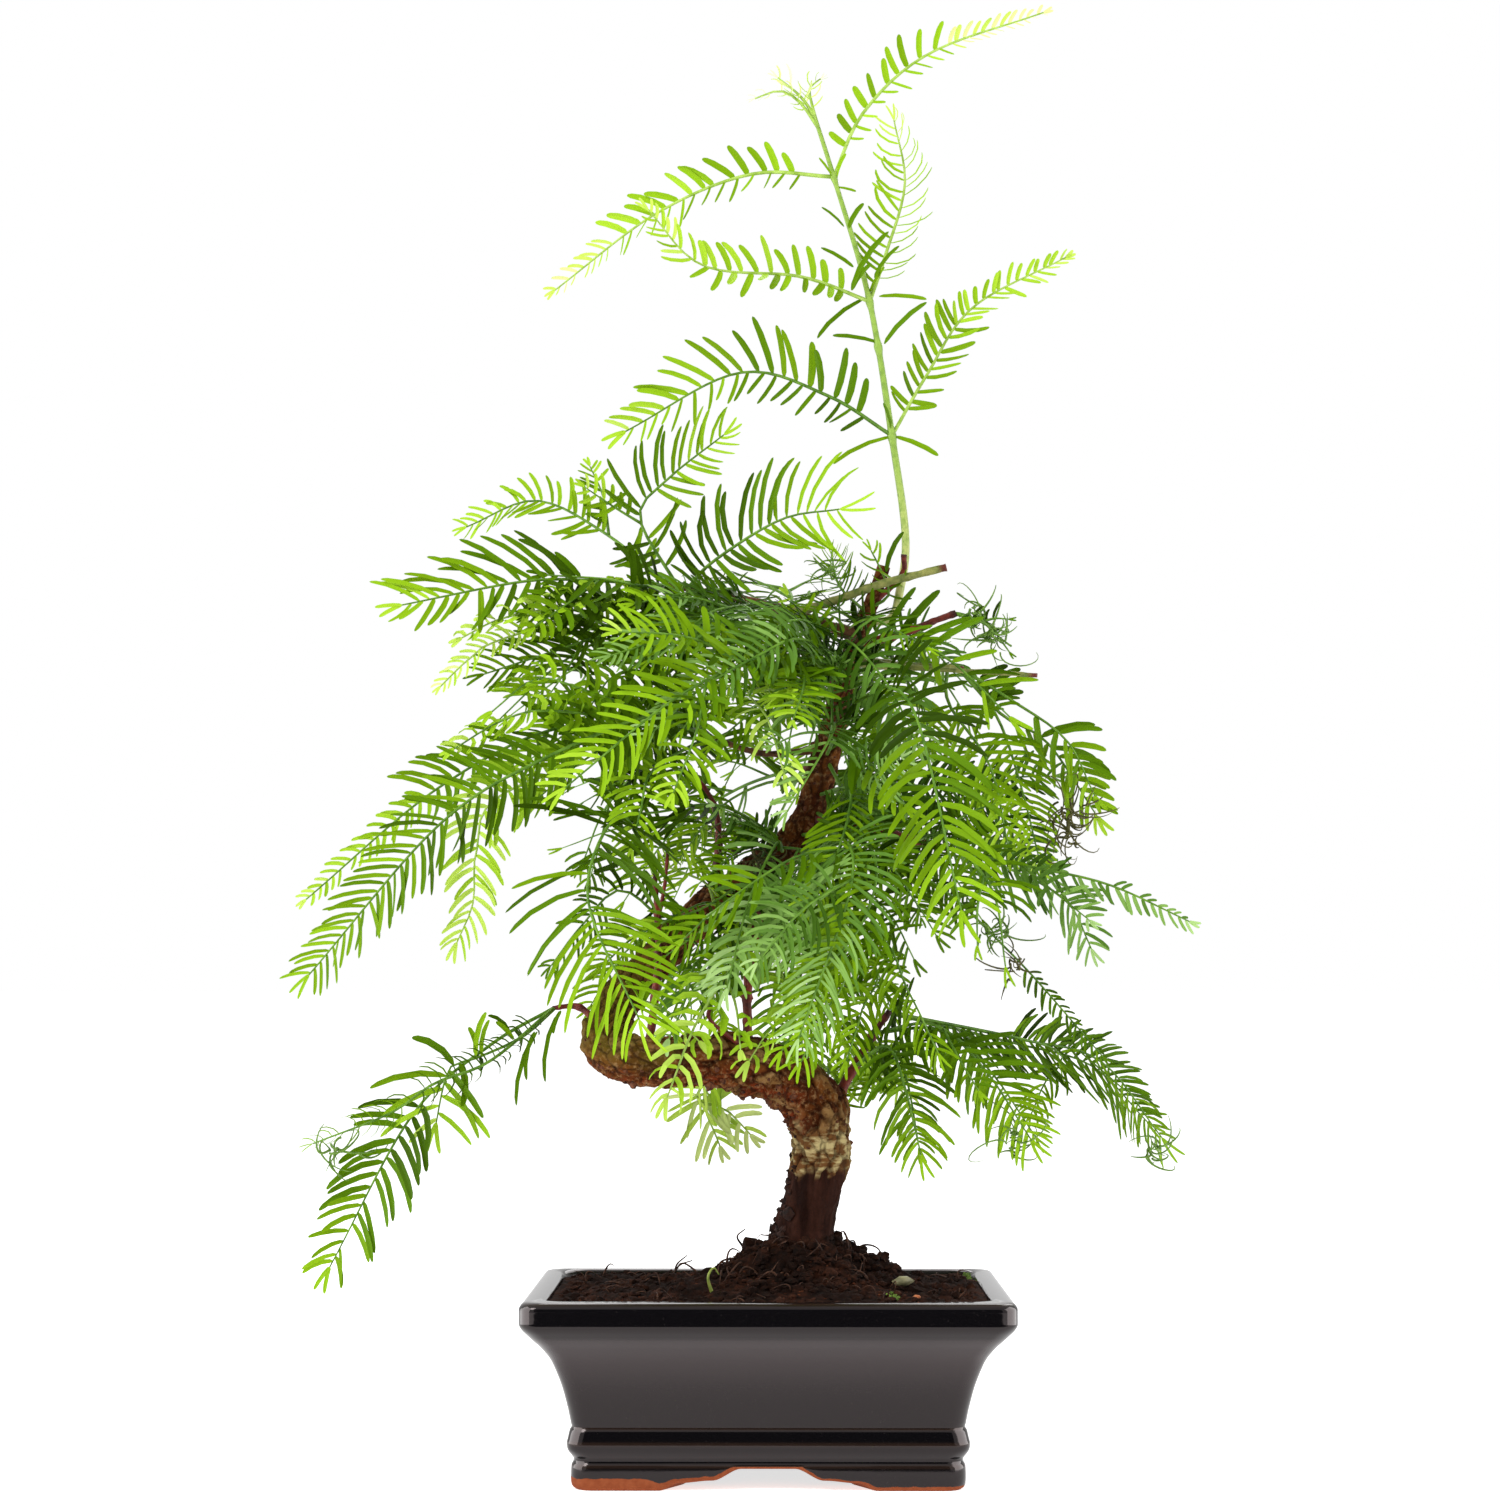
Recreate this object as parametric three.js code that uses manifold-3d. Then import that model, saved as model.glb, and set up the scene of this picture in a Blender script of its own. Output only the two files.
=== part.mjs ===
// Dawn redwood grown as a bonsai in a glazed rectangular pot.
// Millimetres, +Z up, the pot's foot on z = 0, the front of the pot towards -Y.
// Places are given from the middle of the pot on the floor; the whole group is
// moved at the end so that the middle of its footprint box is the origin.
import * as THREE from "three";
import Module from "manifold-3d";

const wasm = await Module();
wasm.setup();
const { Manifold, Mesh } = wasm;

// ---------------------------------------------------------------- sizes
const GAP = 0.3; // clear of every neighbour
const POT = {
  length: 182, // across the rim
  depth: 131,
  height: 70,
  corner: 4.5, // rounding of the rim's corners in plan
  rim: 8.5, // width of the flat top of the rim
  // height and how far the side stands in from the rim's edge
  side: [
    [0, 19],
    [2.2, 18.4],
    [9, 18.2],
    [12, 17.3],
    [17.8, 16.9],
    [21, 18.2],
    [24.4, 17.8],
    [30, 16.8],
    [37.5, 14.9],
    [44, 12.6],
    [48.4, 10.6],
    [52.5, 7.4],
    [57.6, 2.6],
    [60.4, 0.5],
    [67, 0],
    [69.2, 0.8],
  ],
  // the same for the hollow inside, from the rim down
  hollow: [
    [58, 10.4],
    [46, 18.2],
    [37, 21.5],
    [25, 24.3],
    [17, 25.5],
    [13, 29.5],
  ],
  arch: { half: 14, rise: 6 }, // gap in the middle of each long side's foot
  step: { half: 38, rise: 2.5 }, // the shallow step either side of that gap
  shortArch: { half: 8, rise: 6 },
  shortStep: { half: 23, rise: 2.5 },
  footRing: 13,
  hole: { radius: 6, apart: 62 },
};
const SOIL = { x: 14, level: 65, mound: 16, spread: 30, flat: 19, top: 80.6 };

// The trunk's axis, bend by bend, with its radius.
const TRUNK = {
  sides: 11,
  rings: 50,
  flare: { ribs: 5, share: 0.2, over: 18 },
  stations: [
    { at: [14, 0, SOIL.top + GAP], r: 13.6 },
    { at: [14.5, 0, 92], r: 10.8 },
    { at: [17.5, -2, 106], r: 10.4 },
    { at: [20.3, -4, 122], r: 10.8 },
    { at: [18.4, -7.5, 137], r: 12.2 },
    { at: [7.5, -12, 149.5], r: 11.3 },
    { at: [-9, -16.5, 155.5], r: 10.3 },
    { at: [-27, -19.5, 156.5], r: 9.4 },
    { at: [-45, -18, 155.8], r: 9 },
    { at: [-58, -11, 158.5], r: 8.6 },
    { at: [-63, 0, 166.5], r: 8.3 },
    { at: [-58.5, 13, 178.5], r: 8 },
    { at: [-47, 22.5, 192], r: 7.5 },
    { at: [-29, 25, 210.5], r: 7.2 },
    { at: [-8, 21, 226.5], r: 7 },
    { at: [8, 14, 239], r: 6.6 },
    { at: [17, 8, 253], r: 6.2 },
    { at: [21.5, 4, 270], r: 5.7 },
    { at: [26, 2, 288], r: 5 },
    { at: [30, 1, 306], r: 4.4 },
    { at: [36, -1, 323], r: 3.4 },
    { at: [41.5, -3, 336], r: 2.9 },
    { at: [45.3, -4, 348], r: 2.5 },
  ],
};

// Each bough springs from the trunk's axis at a share of its length and tapers
// through the places given to its tip. Radii at root and tip.
const BOUGHS = {
  leader: {
    at: 0.942,
    r: [1.75, 0.75],
    to: [
      [48, 1, 328],
      [51.5, 0, 338],
      [54, 0, 360],
      [49, 0, 399],
      [40, 0, 455],
      [26.5, 0, 503],
      [18.5, 0, 529],
    ],
  },
  upper_left: { at: 0.925, r: [3.1, 1.7], to: [[11, -4, 329], [-13, -3, 336], [-39, 0, 341]] },
  pruned: { on: "upper_left", at: 0.36, r: [2.3, 1.9], to: [[25, -13, 333], [45, -14, 340], [69, -15, 346]] },
  upper_right: { at: 0.915, r: [2.4, 1.5], to: [[51, -7, 321], [73, -9, 329]] },
  right_twig: { at: 0.9, r: [2.2, 1.2], to: [[52, 6, 310], [77, 9, 309]] },
  left_mid: { at: 0.81, r: [2.6, 1.4], to: [[-2, 0, 275], [-30, -4, 284]] },
  right_mid: { at: 0.735, r: [2.5, 1.3], to: [[39, -10, 245], [69, -18, 237]] },
  red_shoot: { at: 0.6, r: [1.9, 1], to: [[-20, 15, 250], [-29, 12, 268]] },
  red_left: { at: 0.335, r: [1.9, 0.9], to: [[-42, -22, 192], [-43, -27, 228]] },
  red_mid: { at: 0.235, r: [2.2, 0.9], to: [[-8, -19, 188], [-6, -25, 210]] },
  low_left: { at: 0.405, r: [1.7, 0.9], to: [[-73, 5, 176], [-84, 5, 176]] },
  low_right: { at: 0.13, r: [2.5, 1.2], to: [[36, 0, 158], [47, -2, 175]] },
  back_high: { at: 0.875, r: [2.5, 1.2], to: [[29, 26, 314], [32, 52, 320]] },
  back_mid: { at: 0.75, r: [2.6, 1.3], to: [[18, 34, 270], [13, 60, 274]] },
  back_low: { at: 0.63, r: [2.6, 1.3], to: [[-13, 48, 220], [-13, 70, 218]] },
};

// Masses of needles. Each springs from the tip of its bough (or, with "side",
// from that share of a limb's length), and its main spray runs through the
// places given. needle: longest needle; pairs on the main spray; twigs: side
// sprays; face: degrees its upper face leans from the sky towards the front.
const MASSES = {
  tip: {
    on: "leader", to: [[13, 1, 537], [4, 2, 545]],
    needle: 10, pairs: 5, twigs: 0, face: 75, tint: 3, seed: 1,
  },
  high_right: {
    on: "leader", side: 0.93, to: [[38, -8, 528], [63, -18, 549], [112, -28, 565]],
    needle: 11, pairs: 18, twigs: 0, face: 78, tint: 3, seed: 2,
  },
  high_left: {
    on: "leader", side: 0.925, to: [[-7, 3, 506], [-45, 7, 491], [-85, 10, 461]],
    needle: 12, pairs: 18, twigs: 0, face: 76, tint: 3, seed: 3,
  },
  second_left: {
    on: "leader", side: 0.74, to: [[13, -12, 461], [-25, -26, 462], [-46, -33, 482]],
    needle: 11, pairs: 16, twigs: 0, free: [24, -4, 445], face: 70, tint: 2, seed: 4,
  },
  second_right: {
    on: "leader", side: 0.735, to: [[47, 8, 475], [55, 14, 505], [51, 20, 533]],
    needle: 17, pairs: 14, twigs: 0, free: [66, 2, 460], face: 88, tint: 3, seed: 5,
  },
  third_left: {
    on: "leader", side: 0.42, to: [[23, -12, 414], [-11, -26, 420], [-54, -38, 395]],
    needle: 20, pairs: 15, twigs: 0, free: [29, -6, 395], face: 80, tint: 2, seed: 6,
  },
  third_right: {
    on: "leader", side: 0.415, to: [[63, 8, 426], [82, 15, 455], [120, 22, 477]],
    needle: 12, pairs: 15, twigs: 0, free: [72, 4, 399], face: 80, tint: 3, seed: 7,
  },

  crest: {
    on: "upper_left", side: 0.95, to: [[-46, -6, 368], [-35, -12, 382], [-13, -20, 398]],
    needle: 14, pairs: 11, twigs: 1, face: 80, tint: 2, seed: 8,
  },
  crest_far: {
    on: "upper_left", to: [[-65, 14, 364], [-93, 20, 378], [-121, 24, 368]],
    needle: 14, pairs: 13, twigs: 1, face: 64, tint: 2, seed: 9,
  },
  fan: {
    on: "upper_left", side: 0.9, to: [[-21, -18, 348], [5, -32, 362], [35, -44, 368]],
    needle: 25, pairs: 13, twigs: 0, face: 84, tint: 1, seed: 10,
  },
  out_left: {
    on: "upper_left", side: 0.99, to: [[-69, -22, 347], [-97, -34, 340], [-141, -50, 327]],
    needle: 22, pairs: 15, twigs: 1, fork: 0.3, angle: 34, face: 72, tint: 1, seed: 11,
  },
  under_left: {
    on: "upper_left", side: 0.84, to: [[-51, -20, 324], [-77, -32, 313], [-107, -40, 302]],
    needle: 19, pairs: 12, twigs: 3, face: 66, tint: 0, seed: 12,
  },
  behind_left: {
    on: "upper_left", side: 0.7, to: [[-46, 28, 324], [-78, 48, 314], [-106, 64, 296]],
    needle: 20, pairs: 12, twigs: 2, face: -20, tint: 1, seed: 13,
  },
  brow: {
    on: "upper_left", side: 0.5, to: [[-11, -22, 330], [-23, -44, 324], [-35, -62, 310]],
    needle: 20, pairs: 10, twigs: 3, face: 45, tint: 0, seed: 14,
  },
  crown: {
    on: "upper_left", side: 0.36, to: [[9, 16, 340], [3, 34, 344], [-5, 52, 336]],
    needle: 18, pairs: 8, twigs: 3, long: 1.3, face: 0, tint: 1, seed: 15,
  },

  ruffle: {
    on: "upper_right", to: [[85, -12, 324], [93, -16, 313]],
    needle: 10, pairs: 6, twigs: 1, face: 70, tint: 0, seed: 16,
  },
  right_shoulder: {
    on: "right_twig", to: [[95, 10, 294], [113, 11, 283], [132, 9, 254]],
    needle: 18, pairs: 12, twigs: 1, face: 66, tint: 1, seed: 17,
  },
  right_top: {
    on: "trunk", side: 0.905, to: [[45, -24, 320], [65, -32, 310], [85, -38, 288]],
    needle: 20, pairs: 10, twigs: 3, face: 70, tint: 0, seed: 41,
  },
  right_face: {
    on: "trunk", side: 0.87, to: [[43, -36, 298], [55, -66, 282], [63, -90, 216]],
    needle: 22, pairs: 15, twigs: 2, face: 84, tint: 2, seed: 18,
  },
  face: {
    on: "trunk", side: 0.885, to: [[11, -38, 311], [-11, -60, 303], [-37, -76, 287], [-73, -86, 256]],
    needle: 23, pairs: 14, twigs: 3, face: 74, tint: 1, seed: 19,
  },
  bib: {
    on: "trunk", side: 0.81, to: [[25, -30, 284], [23, -60, 276], [7, -74, 248]],
    needle: 18, pairs: 9, twigs: 2, face: 78, tint: 0, seed: 20,
  },

  long_upper: {
    on: "left_mid", to: [[-79, -16, 284], [-125, -28, 262], [-173, -42, 215]],
    needle: 16, pairs: 18, twigs: 0, face: 64, tint: 2, seed: 21,
  },
  long_lower: {
    on: "left_mid", side: 0.82,
    to: [[-39, -34, 286], [-83, -54, 266], [-123, -62, 240], [-169, -70, 186]],
    needle: 20, pairs: 16, twigs: 1, fork: 0.6, angle: 72, hand: -1, face: 66, tint: 1, seed: 22,
  },
  left_fill: {
    on: "left_mid", side: 0.84, to: [[-50, 10, 297], [-72, 14, 289], [-94, 16, 274]],
    needle: 20, pairs: 11, twigs: 2, face: 66, tint: 1, seed: 42,
  },
  inner: {
    on: "red_shoot", to: [[-47, 22, 272], [-65, 34, 256], [-75, 44, 234]],
    needle: 18, pairs: 9, twigs: 3, long: 1.2, face: 50, tint: 0, seed: 23,
  },
  big_hang: {
    on: "red_left", to: [[-53, -46, 246], [-64, -68, 217], [-51, -74, 168]],
    needle: 27, pairs: 14, twigs: 0, face: 82, tint: 2, seed: 24,
  },
  low_left_hang: {
    on: "low_left", to: [[-107, -4, 162], [-135, -20, 136], [-164, -32, 80]],
    needle: 20, pairs: 16, twigs: 1, fork: 0.4, angle: 30, face: 70, tint: 1, seed: 25,
  },
  lap: {
    on: "red_mid", to: [[-14, -42, 192], [-27, -54, 170], [-37, -58, 144]],
    needle: 14, pairs: 10, twigs: 1, face: 78, tint: 3, seed: 26,
  },
  under_bend: {
    on: "trunk", side: 0.24, to: [[-25, 10, 142], [-19, 18, 122]],
    needle: 14, pairs: 6, twigs: 0, face: 88, tint: 3, seed: 27,
  },

  right_far: {
    on: "right_mid", to: [[99, -24, 230], [129, -27, 223], [159, -30, 209]],
    needle: 16, pairs: 13, twigs: 1, hand: 1, fork: 0.3, angle: 30, face: 70, tint: 1, seed: 28,
  },
  right_drop: {
    on: "right_mid", side: 0.78, to: [[67, -40, 240], [83, -54, 220], [87, -62, 192]],
    needle: 19, pairs: 11, twigs: 2, face: 80, tint: 1, seed: 29,
  },
  right_hang: {
    on: "trunk", side: 0.78, to: [[51, 14, 264], [85, 22, 258], [111, 20, 228]],
    needle: 18, pairs: 12, twigs: 2, face: 76, tint: 1, seed: 43,
  },
  diagonal: {
    on: "trunk", side: 0.7, to: [[59, 12, 228], [99, 18, 198], [155, 14, 126]],
    needle: 13, pairs: 17, twigs: 1, face: 66, tint: 0, seed: 30,
  },
  skirt_out: {
    on: "low_right", to: [[77, 14, 170], [109, 24, 153], [141, 24, 128]],
    needle: 17, pairs: 13, twigs: 0, face: 56, tint: 1, seed: 31,
  },
  skirt_mid: {
    on: "low_right", side: 0.8, to: [[63, -22, 170], [81, -30, 154], [98, -34, 128]],
    needle: 17, pairs: 11, twigs: 1, hand: 1, angle: 30, face: 74, tint: 1, seed: 32,
  },
  skirt_in: {
    on: "low_right", side: 0.5, to: [[45, -22, 162], [51, -32, 148], [57, -38, 122]],
    needle: 16, pairs: 9, twigs: 0, face: 80, tint: 1, seed: 33,
  },
  centre_fan: {
    on: "trunk", side: 0.715, to: [[28, -46, 240], [30, -70, 220], [11, -82, 166]],
    needle: 23, pairs: 14, twigs: 2, face: 82, tint: 1, seed: 34,
  },
  centre_left: {
    on: "trunk", side: 0.69, to: [[3, -34, 238], [-7, -56, 216], [-15, -66, 184]],
    needle: 20, pairs: 11, twigs: 2, face: 80, tint: 1, seed: 35,
  },

  back_crest: {
    on: "back_high", to: [[29, 78, 314], [21, 104, 298], [13, 122, 270]],
    needle: 21, pairs: 10, twigs: 4, long: 1.5, face: -35, tint: 1, seed: 37,
  },
  back_left: {
    on: "back_mid", to: [[-13, 78, 266], [-41, 92, 248], [-61, 100, 220]],
    needle: 20, pairs: 10, twigs: 4, long: 1.5, face: -40, tint: 1, seed: 38,
  },
  back_right: {
    on: "back_mid", side: 0.8, to: [[41, 66, 264], [67, 80, 244], [89, 84, 212]],
    needle: 20, pairs: 10, twigs: 4, long: 1.5, face: -40, tint: 0, seed: 39,
  },
  back_fall: {
    on: "back_low", to: [[1, 92, 202], [19, 104, 180], [39, 108, 150]],
    needle: 20, pairs: 10, twigs: 4, long: 1.5, face: -50, tint: 1, seed: 40,
  },
};

const BLADE = {
  crest: [1.05, 0.6], // height of a spray's ridge over its stem's middle, root to tip
  belly: 0.5, // how far its flat underside hangs, as a share of that
  edge: [1, 0.55], // half width of the stem between the needles
  spread: [64, 42], // degrees between needle and stem, root to tip
  droop: 0.1, // how far a needle's tip hangs under the spray's face
  bare: 0.1, // share of a spray's length with no needles
};
const LEAF = { half: 1.3, thick: 0.5 };
const TWIG = {
  angle: 42, // degrees from the main spray
  length: 0.4, // share of the main spray's length
  needle: 0.74, // share of the main spray's longest needle
  first: 0.24, // where the first and the last twig spring, by share of the main spray
  last: 0.6,
  sag: 0.08, // how far its tip hangs, as a share of its length
  denser: 1.3, // how many times closer its needles stand
  leans: [0.12, 0.45, -0.35, 0.8], // out of the main spray's face: the first clear one is kept
  bare: 0.16,
  part: 0.8, // its thickness against the main spray's
};

// ---------------------------------------------------------------- helpers
const V = (a) => new THREE.Vector3(a[0], a[1], a[2]);
const mix = (a, b, t) => a + (b - a) * t;
const rad = THREE.MathUtils.degToRad;

function seeded(seed) {
  let a = seed >>> 0;
  return () => {
    a = (a + 0x6d2b79f5) >>> 0;
    let t = Math.imul(a ^ (a >>> 15), 1 | a);
    t = (t + Math.imul(t ^ (t >>> 7), 61 | t)) ^ t;
    return ((t ^ (t >>> 14)) >>> 0) / 4294967296;
  };
}

// A smooth path through the places given; at(u) is by share of its length.
function path(points) {
  const p = points.map((q) => (q.isVector3 ? q.clone() : V(q)));
  p.unshift(p[0].clone().multiplyScalar(2).sub(p[1]));
  const n = p.length;
  p.push(p[n - 1].clone().multiplyScalar(2).sub(p[n - 2]));
  const fine = [];
  const spans = p.length - 3;
  for (let i = 0; i < spans; i++)
    for (let k = 0; k < 16 + (i === spans - 1 ? 1 : 0); k++) {
      const t = k / 16;
      const w = [
        -t + 2 * t * t - t ** 3,
        2 - 5 * t * t + 3 * t ** 3,
        t + 4 * t * t - 3 * t ** 3,
        -t * t + t ** 3,
      ];
      const q = new THREE.Vector3();
      w.forEach((s, j) => q.addScaledVector(p[i + j], s / 2));
      fine.push(q);
    }
  const run = [0];
  for (let i = 1; i < fine.length; i++)
    run.push(run[i - 1] + fine[i].distanceTo(fine[i - 1]));
  const length = run[run.length - 1];
  const at = (u) => {
    const s = Math.min(Math.max(u, 0), 1) * length;
    let i = 1;
    while (i < fine.length - 1 && run[i] < s) i++;
    const t = (s - run[i - 1]) / (run[i] - run[i - 1]);
    return fine[i - 1].clone().lerp(fine[i], t);
  };
  const way = (u) => at(Math.min(u + 0.01, 1)).sub(at(Math.max(u - 0.01, 0))).normalize();
  return { at, way, length, spans };
}

function solidOf(points, faces) {
  let six = 0;
  for (const [a, b, c] of faces)
    six += points[a].dot(new THREE.Vector3().crossVectors(points[b], points[c]));
  const turned = six < 0 ? faces.map(([a, b, c]) => [a, c, b]) : faces;
  return new Manifold(
    new Mesh({
      numProp: 3,
      vertProperties: new Float32Array(points.flatMap((p) => [p.x, p.y, p.z])),
      triVerts: new Uint32Array(turned.flat()),
    }),
  );
}

// Rings of equal count joined into a closed skin, both ends capped.
function loft(rings) {
  const n = rings[0].length;
  const points = rings.flat();
  const faces = [];
  for (let i = 0; i + 1 < rings.length; i++)
    for (let k = 0; k < n; k++) {
      const a = i * n + k;
      const b = i * n + ((k + 1) % n);
      faces.push([a, b, b + n], [a, b + n, a + n]);
    }
  for (const [ring, turn] of [[0, true], [rings.length - 1, false]]) {
    const mid = new THREE.Vector3();
    rings[ring].forEach((p) => mid.addScaledVector(p, 1 / n));
    points.push(mid);
    const m = points.length - 1;
    for (let k = 0; k < n; k++) {
      const a = ring * n + k;
      const b = ring * n + ((k + 1) % n);
      faces.push(turn ? [a, m, b] : [a, b, m]);
    }
  }
  return [points, faces];
}

// A round limb along a path; radius(u, angle) in mm, first ring flat if asked.
function limb(line, sides, rings, radius, flatStart = false) {
  let side = null;
  const made = [];
  for (let i = 0; i <= rings; i++) {
    const u = i / rings;
    const t = flatStart && i === 0 ? new THREE.Vector3(0, 0, 1) : line.way(u);
    if (!side) {
      side = new THREE.Vector3(0, 1, 0);
      if (Math.abs(t.y) > 0.9) side.set(1, 0, 0);
    }
    side.addScaledVector(t, -side.dot(t)).normalize();
    const other = new THREE.Vector3().crossVectors(t, side);
    const mid = line.at(u);
    const ring = [];
    for (let k = 0; k < sides; k++) {
      const a = (2 * Math.PI * k) / sides;
      const r = radius(u, a);
      ring.push(mid.clone().addScaledVector(side, r * Math.cos(a)).addScaledVector(other, r * Math.sin(a)));
    }
    made.push(ring);
  }
  return solidOf(...loft(made));
}

// ---------------------------------------------------------------- clearance
// Thin triangles and limb segments already placed, each with a half thickness.
const placed = [];
const segment = (p, q, r, owner, kind) => ({ p: [p, q, q], r, owner, kind });

function pointTriangle(p, [a, b, c]) {
  const t = new THREE.Triangle(a, b, c);
  const q = new THREE.Vector3();
  if (b === c) return new THREE.Line3(a, b).closestPointToPoint(p, true, q).distanceTo(p);
  return t.closestPointToPoint(p, q).distanceTo(p);
}

function segmentSegment(a, b, c, d) {
  const u = b.clone().sub(a);
  const v = d.clone().sub(c);
  const w = a.clone().sub(c);
  const A = u.dot(u), B = u.dot(v), C = v.dot(v), D = u.dot(w), E = v.dot(w);
  const den = A * C - B * B;
  let s = den > 1e-9 ? THREE.MathUtils.clamp((B * E - C * D) / den, 0, 1) : 0;
  let t = C > 1e-9 ? (B * s + E) / C : 0;
  if (t < 0 || t > 1) {
    t = THREE.MathUtils.clamp(t, 0, 1);
    s = A > 1e-9 ? THREE.MathUtils.clamp((B * t - D) / A, 0, 1) : 0;
  }
  return a.clone().addScaledVector(u, s).distanceTo(c.clone().addScaledVector(v, t));
}

function pierces(a, b, tri) {
  if (tri[1] === tri[2]) return false;
  const way = b.clone().sub(a);
  const long = way.length();
  if (long < 1e-6) return false;
  const hit = new THREE.Vector3();
  const ray = new THREE.Ray(a, way.divideScalar(long));
  return !!ray.intersectTriangle(tri[0], tri[1], tri[2], false, hit) && hit.distanceTo(a) <= long;
}

function apart(a, b) {
  let d = Infinity;
  for (let i = 0; i < 3; i++)
    for (let j = 0; j < 3; j++) {
      const [p, q] = [a[i], a[(i + 1) % 3]];
      const [r, s] = [b[j], b[(j + 1) % 3]];
      if (p !== q && r !== s) d = Math.min(d, segmentSegment(p, q, r, s));
    }
  for (let i = 0; i < 3; i++) {
    if (pierces(a[i], a[(i + 1) % 3], b) || pierces(b[i], b[(i + 1) % 3], a)) return 0;
    d = Math.min(d, pointTriangle(a[i], b), pointTriangle(b[i], a));
  }
  return d;
}

function ball(item) {
  if (!item.mid) {
    item.mid = new THREE.Vector3().add(item.p[0]).add(item.p[1]).add(item.p[2]).divideScalar(3);
    item.reach = Math.max(...item.p.map((q) => q.distanceTo(item.mid))) + item.r;
  }
  return item;
}

// The nearest thing in the way of an item, or null when it stands clear.
function touches(item, skip) {
  ball(item);
  for (const other of placed) {
    if (skip(other)) continue;
    ball(other);
    if (item.mid.distanceTo(other.mid) > item.reach + other.reach + GAP) continue;
    if (apart(item.p, other.p) < item.r + other.r + GAP) return other;
  }
  return null;
}

// ---------------------------------------------------------------- sprays
// A spray: a slim stem with a row of needles down each side, one closed skin.
// line: its path; hint: the way its upper face looks; bare: share without needles.
function spray(owner, line, hint, longest, pairs, rand, bare, part, skip) {
  const points = [];
  const faces = [];
  const add = (p) => points.push(p) - 1;
  const frame = (u) => {
    const t = line.way(u);
    const n = hint.clone().addScaledVector(t, -hint.dot(t)).normalize();
    return { o: line.at(u), t, n, s: new THREE.Vector3().crossVectors(t, n) };
  };
  const crest = (u) => mix(BLADE.crest[0], BLADE.crest[1], u) * part;
  const edge = (u) => mix(BLADE.edge[0], BLADE.edge[1], u) * part;
  const section = (u) => {
    const f = frame(u);
    const low = f.o.clone().addScaledVector(f.n, -crest(u) * BLADE.belly);
    return [
      add(f.o.clone().addScaledVector(f.n, crest(u))),
      add(low.clone().addScaledVector(f.s, edge(u))),
      add(low.addScaledVector(f.s, -edge(u))),
    ];
  };
  const under = (corners) => points[corners[1]].clone().lerp(points[corners[2]], 0.5);
  const own = [];
  const first = section(0);
  faces.push([first[0], first[2], first[1]]);
  let last = first;
  const stems = Math.max(1, Math.round((bare * line.length) / 16));
  for (let i = 1; i <= stems; i++) {
    const u = (bare * i) / stems;
    const next = section(u);
    for (let k = 0; k < 3; k++) {
      const m = (k + 1) % 3;
      faces.push([last[k], last[m], next[m]], [last[k], next[m], next[k]]);
    }
    own.push(segment(under(last), under(next), edge(u), owner, "stem"));
    last = next;
  }
  // From here on the skin is two rows of needles that share the crests.
  let [top, right, left] = last;
  for (let i = 0; i < pairs; i++) {
    const u = bare + ((1 - bare) * (i + 0.5)) / pairs;
    const after = bare + ((1 - bare) * (i + 1)) / pairs;
    const f = frame(u);
    const g = frame(after);
    const end = i === pairs - 1;
    const w = (u - bare) / (1 - bare);
    const crestTop = add(f.o.clone().addScaledVector(f.n, crest(u)));
    const tip = end ? add(g.o.clone()) : -1;
    const low = g.o.clone().addScaledVector(g.n, -crest(after) * BLADE.belly);
    const next = [-1, -1];
    [1, -1].forEach((hand, k) => {
      const angle = rad(mix(BLADE.spread[0], BLADE.spread[1], w) + (rand() - 0.5) * 8);
      const full = longest * Math.sin(Math.PI * (0.2 + 0.68 * w)) ** 0.75 * (0.94 + 0.12 * rand());
      const from = k ? left : right;
      const root = f.o.clone().addScaledVector(f.s, hand * edge(u) * 0.5);
      const notch = end ? g.o : low.clone().addScaledVector(g.s, hand * edge(after));
      let reach = full;
      let to = null;
      let item = null;
      for (const share of [1, 0.8, 0.6, 0.42, 0.26]) {
        reach = full * share;
        to = root
          .clone()
          .addScaledVector(f.t, reach * Math.cos(angle))
          .addScaledVector(f.s, hand * reach * Math.sin(angle))
          .addScaledVector(f.n, -reach * BLADE.droop);
        item = { p: [points[from], to, notch], r: 0.4 * part, owner, kind: "needle" };
        if (!touches(item, skip)) break;
        item = null;
      }
      if (!item) {
        to = root.clone().addScaledVector(f.t, 1.2).addScaledVector(f.s, hand * (edge(u) + 0.7));
        item = { p: [points[from], to, notch], r: 0.4 * part, owner, kind: "needle" };
      }
      own.push(item);
      const t = add(to);
      const q = end ? tip : add(notch);
      next[k] = q;
      const want = [
        [crestTop, from, t],
        [crestTop, t, q],
        [top, from, crestTop],
        [from, q, t],
      ];
      faces.push(...(hand > 0 ? want : want.map(([a, b, c]) => [a, c, b])));
    });
    faces.push([left, next[0], right]);
    if (!end) faces.push([left, next[1], next[0]]);
    own.push(segment(f.o.clone(), g.o.clone(), edge(u), owner, "stem"));
    top = crestTop;
    right = next[0];
    left = next[1];
  }
  return { solid: [points, faces], own, frame };
}

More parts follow.
